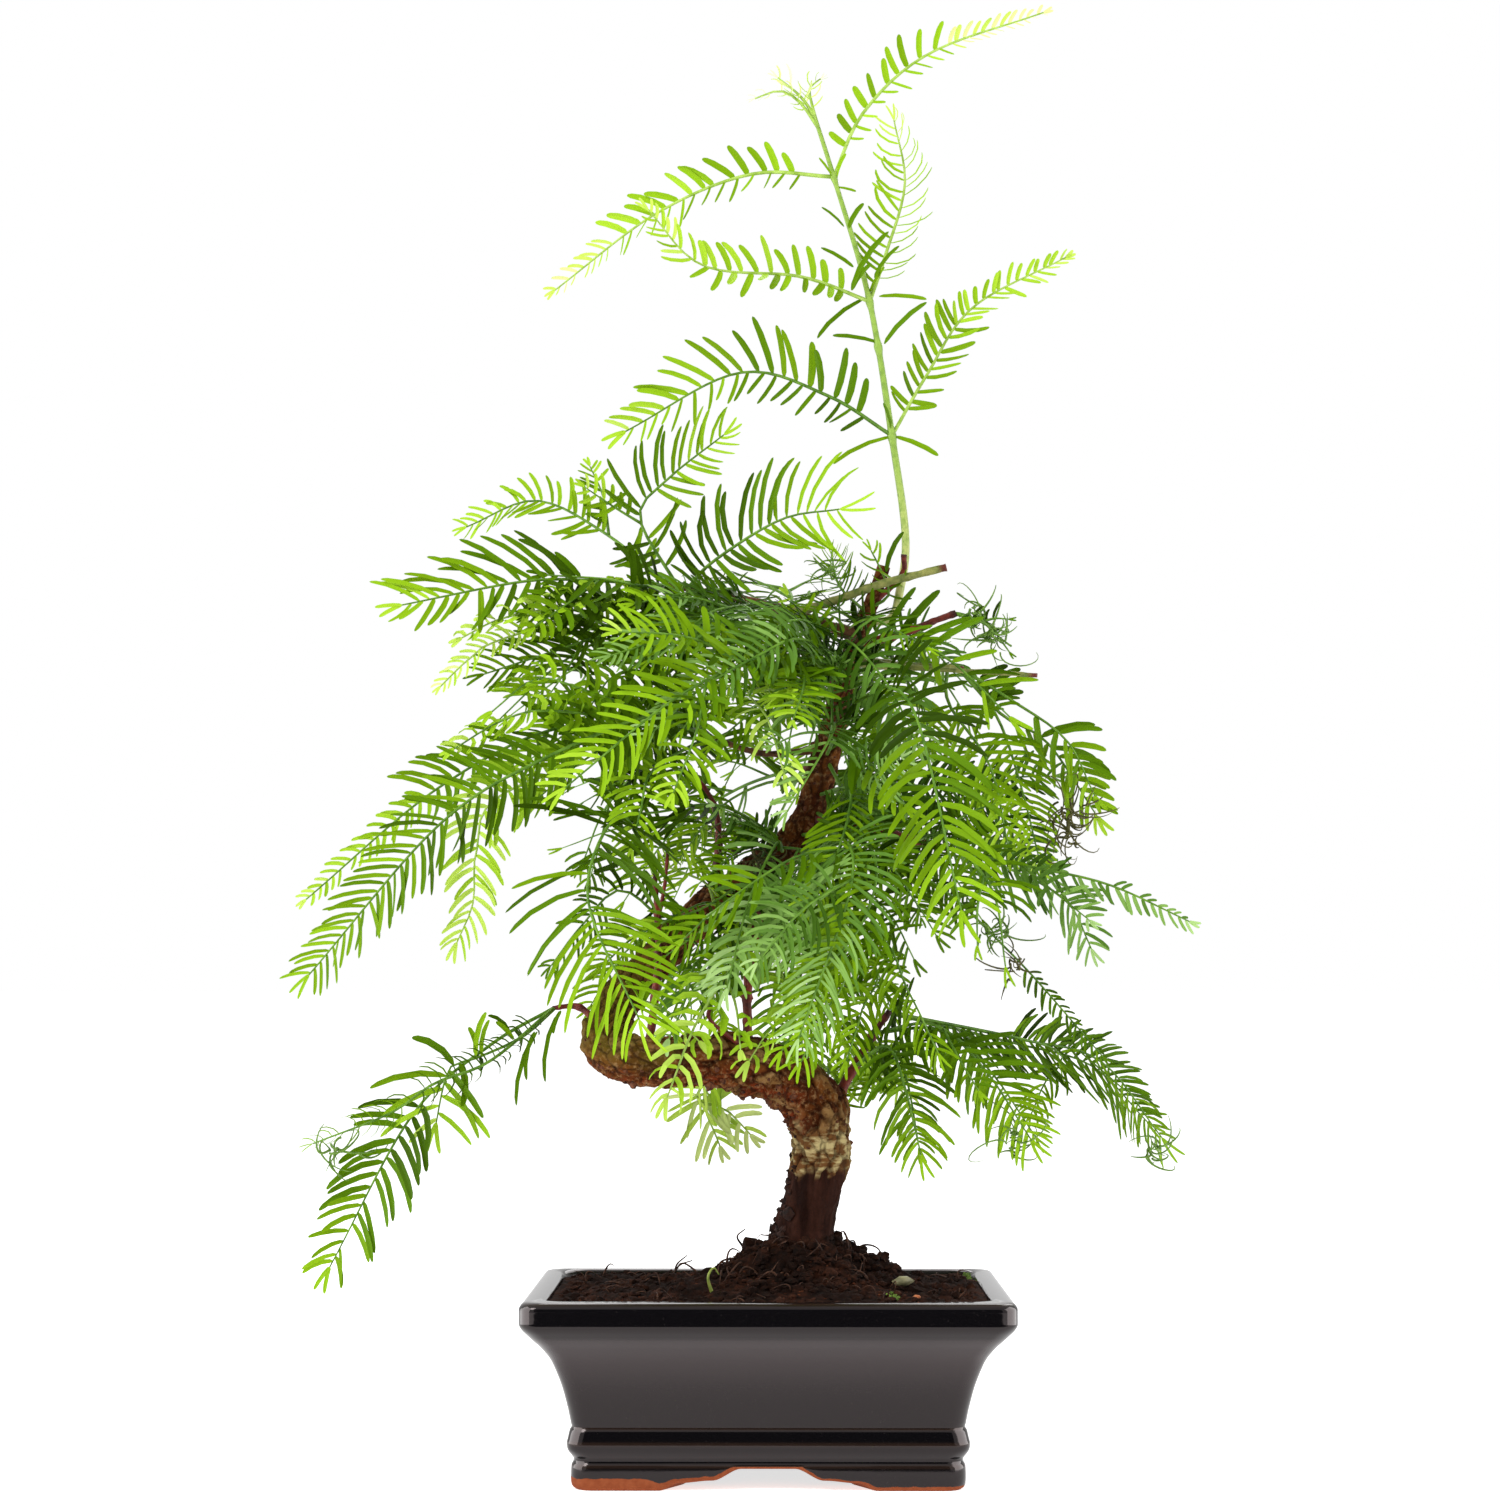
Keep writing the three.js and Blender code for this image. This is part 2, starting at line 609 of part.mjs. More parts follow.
// One needle that stands alone at a joint of the leader: a flat spindle.
function leaf(root, tip, hint) {
  const t = tip.clone().sub(root);
  const n = hint.clone().addScaledVector(t, -hint.dot(t) / t.lengthSq()).normalize();
  const s = new THREE.Vector3().crossVectors(t, n).normalize();
  const mid = root.clone().lerp(tip, 0.45).addScaledVector(n, t.length() * 0.06);
  const corner = (way, far) => mid.clone().addScaledVector(way, far);
  const ring = [corner(s, LEAF.half), corner(n, LEAF.thick), corner(s, -LEAF.half), corner(n, -LEAF.thick)];
  const faces = ring.flatMap((_, k) => {
    const [a, b] = [2 + k, 2 + ((k + 1) % ring.length)];
    return [[0, a, b], [1, b, a]];
  });
  return solidOf([root, tip, ...ring], faces);
}

const biggest = (solid) => solid.decompose().sort((a, b) => b.volume() - a.volume())[0];

// ---------------------------------------------------------------- pot and soil
function roundedRing(z, halfX, halfY, corner, steps = 4) {
  const ring = [];
  [[1, 1], [-1, 1], [-1, -1], [1, -1]].forEach(([sx, sy], c) => {
    for (let k = 0; k <= steps; k++) {
      const a = (Math.PI / 2) * (c + k / steps);
      const x = sx * (halfX - corner) + corner * Math.cos(a);
      const y = sy * (halfY - corner) + corner * Math.sin(a);
      ring.push(V([x, y, z]));
    }
  });
  return ring;
}

const ring = (z, inset, corner) => roundedRing(z, POT.length / 2 - inset, POT.depth / 2 - inset, corner);

// The outline of a foot's cut: a shallow step either side of a deeper arch.
function footCut(step, arch, long) {
  const half = [
    [arch.half, arch.rise],
    [arch.half + 1.5, arch.rise - 1.6],
    [arch.half + 4, step.rise],
    [step.half - 2.4, step.rise],
    [step.half, step.rise - 1],
    [step.half + 1.4, -1],
  ];
  const shape = new THREE.Shape([
    ...half.map(([x, z]) => new THREE.Vector2(x, z)).reverse(),
    ...half.map(([x, z]) => new THREE.Vector2(-x, z)),
  ]);
  const g = new THREE.ExtrudeGeometry(shape, { depth: long, bevelEnabled: false, steps: 1 });
  g.translate(0, 0, -long / 2).rotateX(Math.PI / 2);
  return g;
}

function fromGeometry(g) {
  const p = g.getAttribute("position");
  const keys = new Map();
  const points = [];
  const at = (i) => {
    const key = [p.getX(i), p.getY(i), p.getZ(i)].map((x) => x.toFixed(4)).join();
    if (!keys.has(key)) keys.set(key, points.push(V([p.getX(i), p.getY(i), p.getZ(i)])) - 1);
    return keys.get(key);
  };
  const count = g.index ? g.index.count : p.count;
  const faces = [];
  for (let i = 0; i < count; i += 3) {
    const f = [0, 1, 2].map((k) => at(g.index ? g.index.getX(i + k) : i + k));
    if (new Set(f).size === 3) faces.push(f);
  }
  return solidOf(points, faces);
}

function pot() {
  const outside = POT.side.map(([z, inset]) => ring(z, inset, POT.corner + inset * 0.05));
  const inside = [
    [POT.height, 2.4],
    [POT.height, POT.rim],
    [POT.height - 1, POT.rim + 0.8],
    ...POT.hollow,
  ].map(([z, inset]) => ring(z, inset, Math.max(3.5, POT.corner - inset * 0.05)));
  let made = solidOf(...loft([...outside, ...inside]));
  made = made.subtract(fromGeometry(footCut(POT.step, POT.arch, POT.depth + 20)));
  const shortCut = footCut(POT.shortStep, POT.shortArch, POT.length + 20).rotateZ(Math.PI / 2);
  made = made.subtract(fromGeometry(shortCut));
  const under = ring(-1, 18.4 + POT.footRing, 5);
  made = made.subtract(solidOf(...loft([under, under.map((p) => p.clone().setZ(POT.arch.rise))])));
  for (const s of [-1, 1])
    made = made.subtract(
      fromGeometry(
        new THREE.CylinderGeometry(POT.hole.radius, POT.hole.radius, 20, 14)
          .rotateX(Math.PI / 2)
          .translate((s * POT.hole.apart) / 2, 0, 8),
      ),
    );
  return made;
}

// Height of the soil's surface: level at the walls, a mound round the trunk.
function soilHeight(x, y, rand) {
  const d = Math.hypot((x - SOIL.x) / 1.25, y);
  const rise = d < SOIL.flat ? 1 : Math.exp(-(((d - SOIL.flat) / SOIL.spread) ** 1.3) * 1.6);
  return Math.min(SOIL.level + SOIL.mound * rise + (d < SOIL.flat ? 0 : (rand() - 0.5) * 2.2), SOIL.top);
}

function soil() {
  const rand = seeded(77);
  const clear = GAP + 0.1;
  const rings = [
    ...[...POT.hollow].reverse().map(([z, inset], i) => [z + (i ? 0 : GAP), inset + clear]),
    [SOIL.level - 1.2, POT.rim + 1.2 + clear],
  ].map(([z, inset]) => ring(z, inset, Math.max(3.5, POT.corner - inset * 0.05)));
  const edge = rings[rings.length - 1];
  const middle = V([SOIL.x, 0, 0]);
  for (const share of [0.93, 0.78, 0.63, 0.49, 0.36, 0.245, 0.15]) {
    rings.push(
      edge.map((p) => {
        const x = mix(middle.x, p.x, share);
        const y = mix(middle.y, p.y, Math.min(1, share * (share < 0.3 ? 1.5 : 1.05)));
        return V([x, y, soilHeight(x, y, rand)]);
      }),
    );
  }
  return solidOf(...loft(rings));
}

// ---------------------------------------------------------------- limbs
const trunkLine = path(TRUNK.stations.map((s) => s.at));
// Radius between the stations, by share of the trunk's length.
const stationAt = (() => {
  const runs = [0];
  for (let i = 1; i < TRUNK.stations.length; i++)
    runs.push(runs[i - 1] + V(TRUNK.stations[i].at).distanceTo(V(TRUNK.stations[i - 1].at)));
  return runs.map((r) => r / runs[runs.length - 1]);
})();
function trunkRadius(u) {
  let i = 1;
  while (i < stationAt.length - 1 && stationAt[i] < u) i++;
  const t = (u - stationAt[i - 1]) / (stationAt[i] - stationAt[i - 1]);
  return mix(TRUNK.stations[i - 1].r, TRUNK.stations[i].r, Math.min(Math.max(t, 0), 1));
}
function trunkSkin(grow) {
  const knobs = seeded(5);
  const phase = [knobs() * 6, knobs() * 6];
  return limb(
    trunkLine,
    TRUNK.sides,
    TRUNK.rings,
    (u, a) => {
      const s = u * trunkLine.length;
      const foot = Math.max(0, 1 - s / TRUNK.flare.over);
      const ribs = 1 + TRUNK.flare.share * foot * Math.cos(TRUNK.flare.ribs * a + 0.6);
      const broad = 0.05 * Math.sin(2 * a + s * 0.11 + phase[0]);
      const fine = 0.035 * Math.sin(3 * a - s * 0.19 + phase[1]);
      const knob = 1 + broad + fine;
      return trunkRadius(u) * ribs * (u < 0.93 ? knob : 1) + grow;
    },
    true,
  );
}

const solids = new Map();
const lines = new Map([["trunk", { line: trunkLine, radius: trunkRadius, grown: trunkSkin(GAP) }]]);
solids.set("pot", pot());
solids.set("soil", soil());
solids.set("trunk", trunkSkin(0));

// What no needle may touch: the trunk, in short straight pieces a little fatter
// than its skin, and the pot's four walls as rods at a few levels.
function keepClear() {
  const pieces = 60;
  for (let i = 0; i < pieces; i++) {
    const r = trunkRadius((i + 0.5) / pieces) * 1.06;
    placed.push(segment(trunkLine.at(i / pieces), trunkLine.at((i + 1) / pieces), r, "trunk", "limb"));
  }
  const wall = { x: 84, y: 58, r: 8, levels: [20, 40, 60, 72] };
  const rod = (a, b, z) => placed.push(segment(V([...a, z]), V([...b, z]), wall.r, "pot", "limb"));
  for (const z of wall.levels) {
    for (const y of [-wall.y, wall.y]) rod([-wall.x, y], [wall.x, y], z);
    for (const x of [-wall.x, wall.x]) rod([x, -wall.y], [x, wall.y], z);
  }
}
keepClear();

// One tapering limb, cut 0.3 mm clear of the limb it springs from.
function bough(name, b) {
  const host = lines.get(b.on ?? "trunk");
  const line = path([host.line.at(b.at), ...b.to]);
  const rings = Math.max(4, Math.round(line.length / 11));
  const radius = (u) => mix(b.r[0], b.r[1], u ** 0.8);
  const end = line.at(1).addScaledVector(line.way(1), GAP);
  const longer = path([host.line.at(b.at), ...b.to.slice(0, -1), end]);
  const made = (way, grow) => limb(way, name === "leader" ? 7 : 6, rings, (u) => radius(u) + grow);
  const whole = made(line, 0).subtract(host.grown).subtract(lines.get("trunk").grown);
  solids.set(name, biggest(whole));
  lines.set(name, { line, radius, grown: made(longer, GAP) });
  for (let i = 0; i < rings; i++) {
    const r = radius((i + 0.5) / rings);
    placed.push(segment(line.at(i / rings), line.at((i + 1) / rings), r, name, "limb"));
  }
}
for (const [name, b] of Object.entries(BOUGHS)) bough(name, b);

// ---------------------------------------------------------------- masses
// The main spray of one mass. Every main spray is placed before any twig.
function mainSpray([name, m]) {
  const host = lines.get(m.on);
  const tip = () => host.line.at(1).addScaledVector(host.line.way(1), -2 * GAP);
  const from = m.side === undefined ? tip() : host.line.at(m.side);
  const line = path([from, ...m.to]);
  const hint = V([0, -Math.sin(rad(m.face)), Math.cos(rad(m.face))]);
  const thick = host.radius(m.side ?? 1);
  const atRoot = (o) => o.mid && o.mid.distanceTo(from) < thick + 9 + o.reach;
  const skip = (o) => o.owner === name || (o.owner === m.on && atRoot(o));
  const bare = Math.max(BLADE.bare, (thick + 4) / line.length);
  const main = spray(name, line, hint, m.needle, m.pairs, seeded(m.seed * 7919), bare, 1, skip);
  placed.push(...main.own);
  return { name, m, host, line, hint, main };
}

// A twig's path from f, leaning out of the main spray's face.
function twigPath(f, side, lean, angle, long) {
  const way = f.t.clone().multiplyScalar(Math.cos(angle));
  way.addScaledVector(f.s, side * Math.sin(angle)).addScaledVector(f.n, lean).normalize();
  const mid = f.o.clone().addScaledVector(way, long * 0.5);
  const tip = f.o.clone().addScaledVector(way, long * 0.93).addScaledVector(f.t, long * 0.14);
  tip.z -= long * TWIG.sag;
  return path([f.o, mid, tip]);
}

// Whether a twig's stem meets nothing but the spray it springs from.
function twigClear(name, line, skip) {
  for (let i = 0; i < 5; i++) {
    const rib = segment(line.at(0.16 + i * 0.168), line.at(0.328 + i * 0.168), 0.9, name, "stem");
    if (touches(rib, (o) => skip(o) || (o.owner === name && i === 0))) return false;
  }
  return true;
}

// Twig k of a mass with its needles, or null where no lean stands clear.
function twig({ name, m, line, hint, main }, k, hand, sprout) {
  const share = m.twigs > 1 ? k / (m.twigs - 1) : 0.4;
  const shift = (sprout() - 0.5) * 0.06;
  const u = m.fork ?? mix(TWIG.first, TWIG.last, share) + shift;
  const f = main.frame(u);
  const long = line.length * TWIG.length * (m.long ?? 1) * (1 - 0.35 * u) * (0.9 + 0.2 * sprout());
  const near = (o) => o.mid && o.mid.distanceTo(f.o) < 7 + o.reach * 0.2;
  const skip = (o) => o.owner === name && o.kind === "stem" && near(o);
  for (const lean of TWIG.leans) {
    const way = twigPath(f, k % 2 ? -hand : hand, lean, rad(m.angle ?? TWIG.angle), long);
    if (!twigClear(name, way, skip)) continue;
    const pairs = Math.max(4, Math.round((m.pairs * long * TWIG.denser) / line.length));
    const rand = seeded(m.seed * 7919 + 2 + k);
    return spray(name, way, hint, m.needle * TWIG.needle, pairs, rand, TWIG.bare, TWIG.part, skip);
  }
  return null;
}

// A whole mass: main spray, twigs and any lone needle, cut clear of its limb.
function mass(job) {
  const { m, host, line } = job;
  let solid = solidOf(...job.main.solid);
  const sprout = seeded(m.seed * 7919 + 1);
  const hand = m.hand ?? (sprout() < 0.5 ? 1 : -1);
  for (let k = 0; k < m.twigs; k++) {
    const made = twig(job, k, hand, sprout);
    if (!made) continue;
    solid = solid.add(solidOf(...made.solid));
    placed.push(...made.own);
  }
  if (m.free) solid = solid.add(leaf(line.at(3.4 / line.length), V(m.free), V([0.25, 0, 1])));
  solid = solid.subtract(host.grown);
  // Stems that spring from one limb stand clear of each other.
  const root = Math.min(1, 14 / line.length);
  const stem = path([line.at(0), line.at(root / 2), line.at(root)]);
  for (const other of host.stems ?? []) solid = solid.subtract(other);
  (host.stems ??= []).push(limb(stem, 6, 4, () => BLADE.edge[0] + GAP + 0.1));
  if (m.side !== undefined && m.on !== "trunk") solid = solid.subtract(lines.get("trunk").grown);
  return biggest(solid.simplify(0.02));
}
for (const job of Object.entries(MASSES).map(mainSpray)) solids.set(job.name, mass(job));

// ---------------------------------------------------------------- the group
const TINTS = ["#2f6a16", "#418a1c", "#62ad24", "#9ccb3c"];
const finish = (name) => {
  if (name === "pot") return { color: "#17181a", roughness: 0.18, metalness: 0 };
  if (name === "soil") return { color: "#33231a", roughness: 0.96, metalness: 0 };
  if (name === "trunk") return { color: "#6b4229", roughness: 0.9, metalness: 0 };
  if (name === "leader") return { color: "#7fa43a", roughness: 0.6, metalness: 0 };
  if (name in BOUGHS) return { color: "#5f2d1c", roughness: 0.85, metalness: 0 };
  return { color: TINTS[MASSES[name].tint], roughness: 0.55, metalness: 0 };
};

const group = new THREE.Group();
for (const [name, solid] of solids) {
  const m = solid.getMesh();
  const g = new THREE.BufferGeometry();
  g.setAttribute("position", new THREE.BufferAttribute(new Float32Array(m.vertProperties), 3));
  g.setIndex(new THREE.BufferAttribute(new Uint32Array(m.triVerts), 1));
  const mesh = new THREE.Mesh(g, new THREE.MeshStandardMaterial(finish(name)));
  mesh.name = name;
  group.add(mesh);
}
const box = new THREE.Box3().setFromObject(group, true);
const middle = box.getCenter(new THREE.Vector3());
for (const mesh of group.children) mesh.geometry.translate(-middle.x, -middle.y, 0);

export default group;
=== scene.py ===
import itertools
import math

import bpy
import numpy as np
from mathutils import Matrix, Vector


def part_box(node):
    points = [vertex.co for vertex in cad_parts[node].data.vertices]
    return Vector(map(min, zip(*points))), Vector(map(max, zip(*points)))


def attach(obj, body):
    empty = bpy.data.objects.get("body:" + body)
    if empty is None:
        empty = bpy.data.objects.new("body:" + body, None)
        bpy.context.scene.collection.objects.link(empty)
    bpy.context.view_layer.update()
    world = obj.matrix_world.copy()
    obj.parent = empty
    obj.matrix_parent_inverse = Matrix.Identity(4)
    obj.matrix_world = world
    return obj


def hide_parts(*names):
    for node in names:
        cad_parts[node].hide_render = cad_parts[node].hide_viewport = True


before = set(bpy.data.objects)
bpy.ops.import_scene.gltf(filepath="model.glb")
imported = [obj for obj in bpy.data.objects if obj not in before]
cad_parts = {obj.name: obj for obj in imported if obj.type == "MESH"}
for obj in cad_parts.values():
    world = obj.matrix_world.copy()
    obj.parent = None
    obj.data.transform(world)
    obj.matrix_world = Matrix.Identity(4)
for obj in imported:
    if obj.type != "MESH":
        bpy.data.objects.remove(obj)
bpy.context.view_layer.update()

MM = 0.001
POT_LOW, POT_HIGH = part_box("pot")
POT_MIDDLE = np.array([(POT_LOW.x + POT_HIGH.x) / 2, (POT_LOW.y + POT_HIGH.y) / 2, 0.0])

# ------------------------------------------------------------------ sizes

# Where the camera stands, the degrees it looks up and to the left, and its focal length in
# pixels of a square frame so many pixels wide.
CAMERA = {"place": (1.0, -1122.0, 189.0), "pitch": 4.45, "pan": 0.41, "pixels": 2884.0, "frame": 1500.0}
SENSOR = 36.0  # width of the camera's sensor

# Seeds of the streams of random numbers; fillers and kinds of wisp count on from theirs, and
# each mass has its own.
SEEDS = {"soil": 21, "clinging": 63, "wisps": 90, "fillers": 300}

POT = {
    "length": 182.0,  # over the rim, as is the depth
    "depth": 131.0,
    "corner": 6.8,  # radius in plan
    # height and how far the side stands in from the rim's edge
    "side": [
        (0.3, 19.5), (0.9, 18.8), (2.2, 18.3), (5.0, 18.1), (8.0, 18.2), (9.2, 18.4), (10.0, 18.9),
        (10.7, 19.1), (11.6, 18.8), (13.0, 17.8), (14.6, 16.9), (16.2, 16.6), (17.4, 16.6),
        (18.6, 16.9), (20.4, 17.3), (21.8, 17.7), (22.4, 18.1), (22.9, 18.3), (24.0, 18.0),
        (26.6, 17.5), (30.0, 16.8), (37.5, 14.9), (44.0, 12.6), (48.4, 10.6), (52.5, 7.6),
        (55.6, 4.7), (57.8, 2.7), (59.4, 1.3), (60.8, 0.4), (61.8, 0.05), (62.6, 0.0), (65.0, 0.0),
        (67.2, 0.0), (68.0, 0.15), (68.9, 0.7), (69.6, 1.5), (69.95, 2.6),
    ],
    # the same from the rim's inner edge down to the floor
    "hollow": [
        (70.0, 7.4), (69.8, 8.4), (69.0, 9.0), (66.0, 9.4), (58.0, 10.4), (46.0, 18.2), (25.0, 24.3),
        (13.0, 29.5),
    ],
    "inner_corner": 10.0,
    "floor": 13.0,  # its height; its last ring lies in by floor_inset
    "floor_inset": 48.0,
    "foot_edge": 19.2,  # how far in from the rim the foot's edge lies
    "foot_ring": 13.0,  # breadth of the ring that the pot stands on
    "foot_band": 9.4,  # the cuts in the foot fade out at this height
    "recess": 22.0,  # how far in from the foot ring the recess's last ring lies
    # steps of the foot's cut: where each starts and ends, from the middle of a side, and the
    # heights it joins
    "long_cut": [(9.8, 20.8, 8.0, 3.7), (21.0, 33.0, 3.7, 2.8), (34.0, 40.6, 2.8, 0.0)],
    "short_cut": [(6.5, 13.0, 8.0, 3.7), (13.2, 18.5, 3.7, 2.8), (19.5, 24.6, 2.8, 0.0)],
    # heights and half breadths of the bands where the glaze runs thin over an edge, and of the painted sheen,
    # a lighter band on the upper flare
    "thin_glaze": [(69.5, 0.5), (17.2, 0.6), (22.6, 0.4), (8.9, 0.6)],
    "painted_sheen_band": (51.0, 11.0),
}

# The soil: where its mound stands, how far the mound is stretched along the pot, its level at
# the walls, the mound's height, reach and flat top, the collar's height and the trunk's radius
# there, how far in from the pot's edge its skirt hangs, and down to which height. Then how far
# from the trunk the ring of lumps lies and its half breadth, the distances between which the
# crumbs begin, and how near the pot's wall they calm down and to what share.
SOIL = {
    "x": 14.0, "stretch": 1.2, "level": 68.0, "mound": 12.5, "spread": 25.0, "flat": 16.0,
    "collar": 7.5, "trunk": 10.5, "inset": 9.6, "skirt": 58.0, "lumps": (24.0, 9.0),
    "crumbs": (8.0, 18.0), "calm": (7.0, 0.35),
}

TRUNK = {
    # ribs round the foot, as a share of the radius, that fade out over so many millimetres
    "flare": {"ribs": 5, "share": 0.07, "over": 18.0},
    # the axis bend by bend, with its radius
    "stations": [
        (14, 0, 80.9, 13.6), (14.5, 0, 92, 10.8), (17.5, -2, 106, 10.4), (20.3, -4, 122, 10.8),
        (18.4, -7.5, 137, 12.2), (7.5, -12, 149.5, 11.3), (-9, -16.5, 155.5, 10.3),
        (-27, -19.5, 156.5, 9.4), (-45, -18, 155.8, 9), (-58, -11, 158.5, 8.6), (-63, 0, 166.5, 8.3),
        (-58.5, 13, 178.5, 8),
        (-47, 22.5, 192, 7.5), (-29, 25, 210.5, 7.2), (-8, 21, 226.5, 7), (8, 14, 239, 6.6),
        (17, 8, 253, 6.2), (21.5, 4, 270, 5.7), (26, 2, 288, 5), (30, 1, 306, 4.4),
        (36, -1, 323, 3.4), (41.5, -3, 336, 2.9), (45.3, -4, 348, 2.5),
    ],
}

# Each bough: the limb it springs from, the share of that limb's length, its radii at root
# and tip, and the places it passes.
BOUGHS = {
    "leader": ("trunk", 0.942, (1.75, 0.75), [(48, 1, 328), (51.5, 0, 338), (54, 0, 360), (49, 0, 399),
                                              (40, 0, 455), (26.5, 0, 503), (18.5, 0, 529)]),
    "upper_left": ("trunk", 0.925, (3.1, 1.7), [(11, -4, 329), (-13, -3, 336), (-39, 0, 341)]),
    "pruned": ("upper_left", 0.36, (2.3, 1.9), [(25, -13, 333), (45, -14, 340), (69, -15, 346)]),
    "upper_right": ("trunk", 0.915, (2.4, 1.5), [(51, -7, 321), (73, -9, 329)]),
    "right_twig": ("trunk", 0.9, (2.2, 1.2), [(52, 6, 310), (77, 9, 309)]),
    "left_mid": ("trunk", 0.81, (2.6, 1.4), [(-2, 0, 275), (-30, -4, 284)]),
    "right_mid": ("trunk", 0.735, (2.5, 1.3), [(39, -10, 245), (69, -18, 237)]),
    "red_shoot": ("trunk", 0.6, (1.9, 1.0), [(-20, 15, 250), (-29, 12, 268)]),
    "red_left": ("trunk", 0.335, (1.9, 0.9), [(-42, -22, 192), (-43, -27, 228)]),
    "red_mid": ("trunk", 0.235, (2.2, 0.9), [(-8, -19, 188), (-6, -25, 210)]),
    "low_left": ("trunk", 0.405, (1.7, 0.9), [(-73, 5, 176), (-84, 5, 176)]),
    "low_right": ("trunk", 0.13, (2.5, 1.2), [(36, 0, 158), (47, -2, 175)]),
    "back_high": ("trunk", 0.875, (2.5, 1.2), [(29, 26, 314), (32, 52, 320)]),
    "back_mid": ("trunk", 0.75, (2.6, 1.3), [(18, 34, 270), (13, 60, 274)]),
    "back_low": ("trunk", 0.63, (2.6, 1.3), [(-13, 48, 220), (-13, 70, 218)]),
}


def mass(on, to, needle, twigs, face, tint, seed, side=None, fork=None, angle=None, long=1.0, hand=None):
    """One mass of needles: the limb it springs from and the places its main spray passes, its
    longest needle, its number of side sprays, how far its face leans to the front, its tint and
    seed. Then, where given: the share of the limb (its tip if not), the share of the stem where
    side sprays start, their angle, a factor on their length, and the side of the first."""
    return dict(on=on, to=to, needle=needle, twigs=twigs, face=face, tint=tint, seed=seed,
                side=side, fork=fork, angle=angle, long=long, hand=hand)


